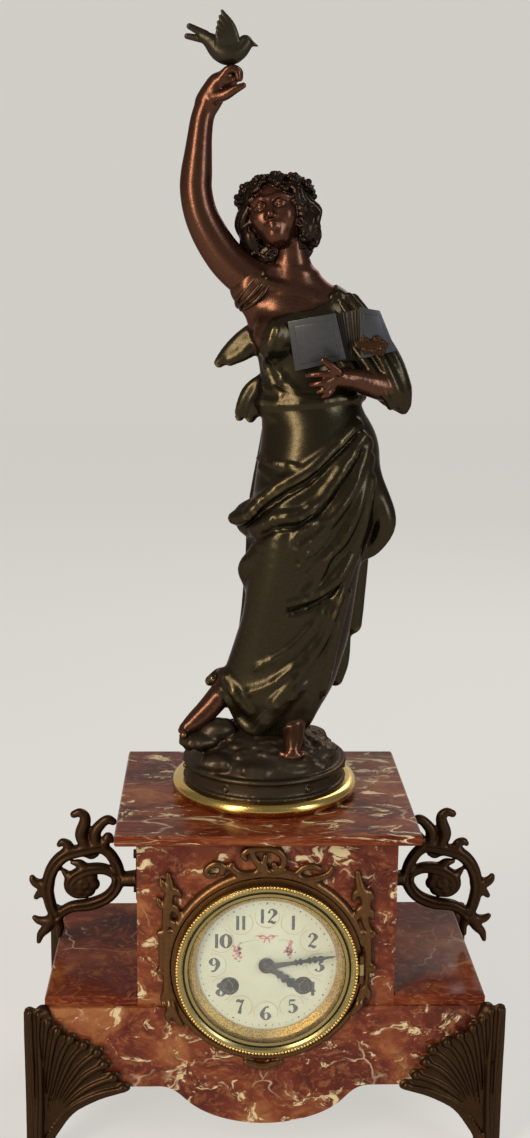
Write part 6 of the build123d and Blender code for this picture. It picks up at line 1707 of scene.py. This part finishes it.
def bead_ring():
    vertices = []
    faces = []
    for angle in angles(BEADS):
        faces += bead_faces(len(vertices))
        vertices += bead(np.array((BEAD_CIRCLE * math.cos(angle), BEAD_DEPTH,
                                   DIAL_HEIGHT + BEAD_CIRCLE * math.sin(angle))))
    piece("bezel_beads", vertices, faces, gilt, "bezel_door")


bead_ring()

# Hands: distance from the middle and half width, then their place
MINUTE_PROFILE = ((0, 1.5), (6, 1.8), (12, 1.3), (17, 1.0), (18.5, 2.1), (19.8, 1.0), (21.2, 2.3),
                  (22.8, 0.9), (25.5, 1.2), (27, 2.3), (28.4, 1.1), (30, 2.5), (32, 1.2), (34, 1.9),
                  (36, 0.9), (39, 0.6), (43.2, 0.2))
HOUR_PROFILE = ((0, 2.0), (5, 2.2), (8.5, 1.5), (10.5, 2.8), (12, 1.5), (14.5, 3.2), (16.5, 1.6), (19, 3.4),
                (21.5, 2.0), (24, 1.2), (27, 0.25))
HAND_THICK = 0.8
HAND_CREASE = 0.15
MINUTE_DEPTH = -70.0
HOUR_DEPTH = -68.2
MINUTES_PAST = 13.45
HOURS_PAST = 4.0
MINUTE_HUB = 3.4
HOUR_HUB = 5.0
HUB_SIDES = 40
# What stands on the hub: radius, and height above the hand's back
MINUTE_NUT = ((2.6, HAND_THICK), (2.5, 1.5), (1.6, 1.95), (0.2, 2.0))
HOUR_COLLAR = ((2.7, HAND_THICK + 0.1),)


def hand(name, profile, hub, cap, angle, depth, body):
    """A hand with a scalloped edge, creased along its middle, and a round hub with what stands on it."""
    along = np.array((math.cos(angle), math.sin(angle)))
    aside = np.array((-along[1], along[0]))
    vertices = []
    faces = []
    for level, crease in ((depth, 0.0), (depth - HAND_THICK, HAND_CREASE)):
        for distance, half in profile:
            for side, lift in ((1, 0.0), (0, crease), (-1, 0.0)):
                spot = along * distance + aside * (half * side)
                vertices.append((spot[0], level + lift, DIAL_HEIGHT + spot[1]))
    count = 3 * len(profile)
    for a in range(0, count - 3, 3):
        b = a + 3
        for j in (0, 1):
            faces.append((a + j, a + j + 1, b + j + 1, b + j))
            faces.append((count + a + j, count + b + j, count + b + j + 1, count + a + j + 1))
        faces.append((a, b, count + b, count + a))
        faces.append((a + 2, count + a + 2, count + b + 2, b + 2))
    rings = ((hub, 0.0), (hub, HAND_THICK), *cap)
    start = len(vertices)
    for radius, rise in rings:
        vertices += [(radius * math.cos(turn), depth - rise, DIAL_HEIGHT + radius * math.sin(turn))
                     for turn in angles(HUB_SIDES)]
    for k in range(len(rings) - 1):
        here, there = start + k * HUB_SIDES, start + (k + 1) * HUB_SIDES
        for i in range(HUB_SIDES):
            after = (i + 1) % HUB_SIDES
            faces.append((here + i, here + after, there + after, there + i))
    piece(name, vertices, faces, dark_steel, body, (body,))


minute_angle = clock_angle(MINUTES_PAST / 5)
hour_angle = clock_angle(HOURS_PAST + MINUTES_PAST / 60)
hand("minute_hand_cut", MINUTE_PROFILE, MINUTE_HUB, MINUTE_NUT, minute_angle, MINUTE_DEPTH, "minute_hand")
hand("hour_hand_cut", HOUR_PROFILE, HOUR_HUB, HOUR_COLLAR, hour_angle, HOUR_DEPTH, "hour_hand")


# CAD pieces that stay get their finishes
FINISHES = (
    (wall_marble, ("base_front_panel", "base_back_panel", "base_side_panels", "pedestal_front_panel",
                   "pedestal_back_panel", "pedestal_side_panels")),
    (slab_marble, ("top_slab",)),
    (step_marble, ("step_plates",)),
    (ring_brass, ("plinth_ring",)),
    (aged_gilt, ("bezel", "rear_bezel", "rear_door")),
    (surround_bronze, ("dial_ring",)),
    (sight_gilt, ("sight_ring",)),
    (enamel, ("enamel_dial",)),
    (glass, ("bezel_glass",)),
    (steel, ("figure_stud", "straps", "pallets", "hammer", "pendulum_rod", "fly")),
    # The two winding arbors are dark as painted shade of the holes they sit in
    (dark_steel, ("minute_hand", "hour_hand", "going_winding_arbor", "strike_winding_arbor",
                  "regulator_arbor")),
    (bronze, ("foot_screws", "handle_screws", "foot_front_left", "foot_front_right", "foot_back_left",
              "foot_back_right", "handle_left", "handle_right", "dial_surround")),
    (satin_brass, ("front_plate", "back_plate", "cannon_pinion", "minute_wheel", "hour_wheel", "centre_wheel",
                   "third_wheel", "escape_wheel", "intermediate_wheel", "going_barrel", "strike_barrel",
                   "strike_second_wheel", "pin_wheel", "warning_wheel", "suspension_cock", "pendulum_bob",
                   "bell")))
for material, names in FINISHES:
    for name in names:
        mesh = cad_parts[name].data
        mesh.materials.clear()
        mesh.materials.append(material)

# Floor, backdrop, light and camera, in metres
FLOOR_HALF = 6.0
WALL_START = 4.2
WALL_TURN = 0.6
WALL_TOP = 4.5
TURN_ANGLES = np.linspace(0.1, math.pi / 2, 12)
FLOOR_COLOUR = (0.66, 0.64, 0.61)
FLOOR_ROUGH = 0.9
PAPER_GLOW = (0.78, 0.755, 0.71)
GLOW_SHARE = 0.74


def backdrop_paper():
    """Pale paper that glows a little where it is seen, mirrored or looked at through glass."""
    material, tree, surface = new_material("backdrop_paper")
    finish_surface(tree, surface, FLOOR_COLOUR, FLOOR_ROUGH)
    rays = shader(tree, "LightPath").outputs
    seen = maths(tree, "MAXIMUM", rays["Is Camera Ray"], rays["Is Glossy Ray"])
    seen = maths(tree, "MAXIMUM", seen, rays["Is Transmission Ray"])
    share = maths(tree, "MULTIPLY", seen, GLOW_SHARE)
    glow = shader(tree, "Emission", Color=PAPER_GLOW, Strength=1.0).outputs["Emission"]
    mixed = shader(tree, "MixShader", inputs=(share, surface.outputs["BSDF"], glow)).outputs["Shader"]
    tree.links.new(mixed, tree.nodes["Material Output"].inputs["Surface"])
    return material


def backdrop():
    """A pale floor that curves up into a wall behind the clock."""
    profile = [(-FLOOR_HALF, 0.0), (WALL_START, 0.0)]
    profile += [(WALL_START + WALL_TURN * math.sin(a), WALL_TURN - WALL_TURN * math.cos(a))
                for a in TURN_ANGLES]
    profile += [(WALL_START + WALL_TURN, WALL_TOP)]
    vertices = [(side * FLOOR_HALF, y, z) for y, z in profile for side in (-1, 1)]
    faces = [(2 * i, 2 * i + 1, 2 * i + 3, 2 * i + 2) for i in range(len(profile) - 1)]
    mesh = bpy.data.meshes.new("backdrop")
    mesh.from_pydata(vertices, [], faces)
    mesh.shade_smooth()
    mesh.materials.append(backdrop_paper())
    made = bpy.data.objects.new("backdrop", mesh)
    bpy.context.scene.collection.objects.link(made)


# Lamps: place, width and height, power, colour. All look at the middle of the clock
CLOCK_MIDDLE = Vector((0.0, 0.0, 0.38))
LAMPS = {"key": ((-1.2, -1.4, 1.15), (0.45, 1.90), 42.0, (1.0, 0.89, 0.72)),
         "fill": ((1.4, -1.1, 0.85), (0.50, 1.10), 14.0, (0.80, 0.89, 1.0)),
         "rim": ((0.7, 1.3, 1.4), (0.9, 0.9), 12.0, (1.0, 1.0, 1.0))}
SKY_COLOUR = (0.90, 0.92, 0.96, 1.0)
SKY_STRENGTH = 0.25
NEAREST = 0.01


def area_light(name, place, size, power, colour):
    lamp = bpy.data.lights.new(name, "AREA")
    lamp.shape = "RECTANGLE"
    lamp.size, lamp.size_y = size
    lamp.energy = power
    lamp.color = colour
    made = bpy.data.objects.new(name, lamp)
    made.location = place
    made.rotation_euler = (CLOCK_MIDDLE - Vector(place)).to_track_quat("-Z", "Y").to_euler()
    bpy.context.scene.collection.objects.link(made)


backdrop()
for name, settings in LAMPS.items():
    area_light(name, *settings)
world = bpy.data.worlds.new("studio")
bpy.context.scene.world = world
world.use_nodes = True
sky = world.node_tree.nodes["Background"].inputs
sky["Color"].default_value = SKY_COLOUR
sky["Strength"].default_value = SKY_STRENGTH

view = bpy.data.cameras.new("photo_camera")
view.sensor_fit = "VERTICAL"
view.sensor_height = SENSOR
view.lens = SENSOR * FOCUS / PHOTO_HEIGHT
view.clip_start = NEAREST
camera = bpy.data.objects.new("photo_camera", view)
pose = np.eye(4)
pose[:3] = np.column_stack((ACROSS, UPWARD, -AHEAD, EYE * MM))
camera.matrix_world = Matrix(pose.tolist())
bpy.context.scene.collection.objects.link(camera)
bpy.context.scene.camera = camera
bpy.context.scene.view_settings.view_transform = "Standard"
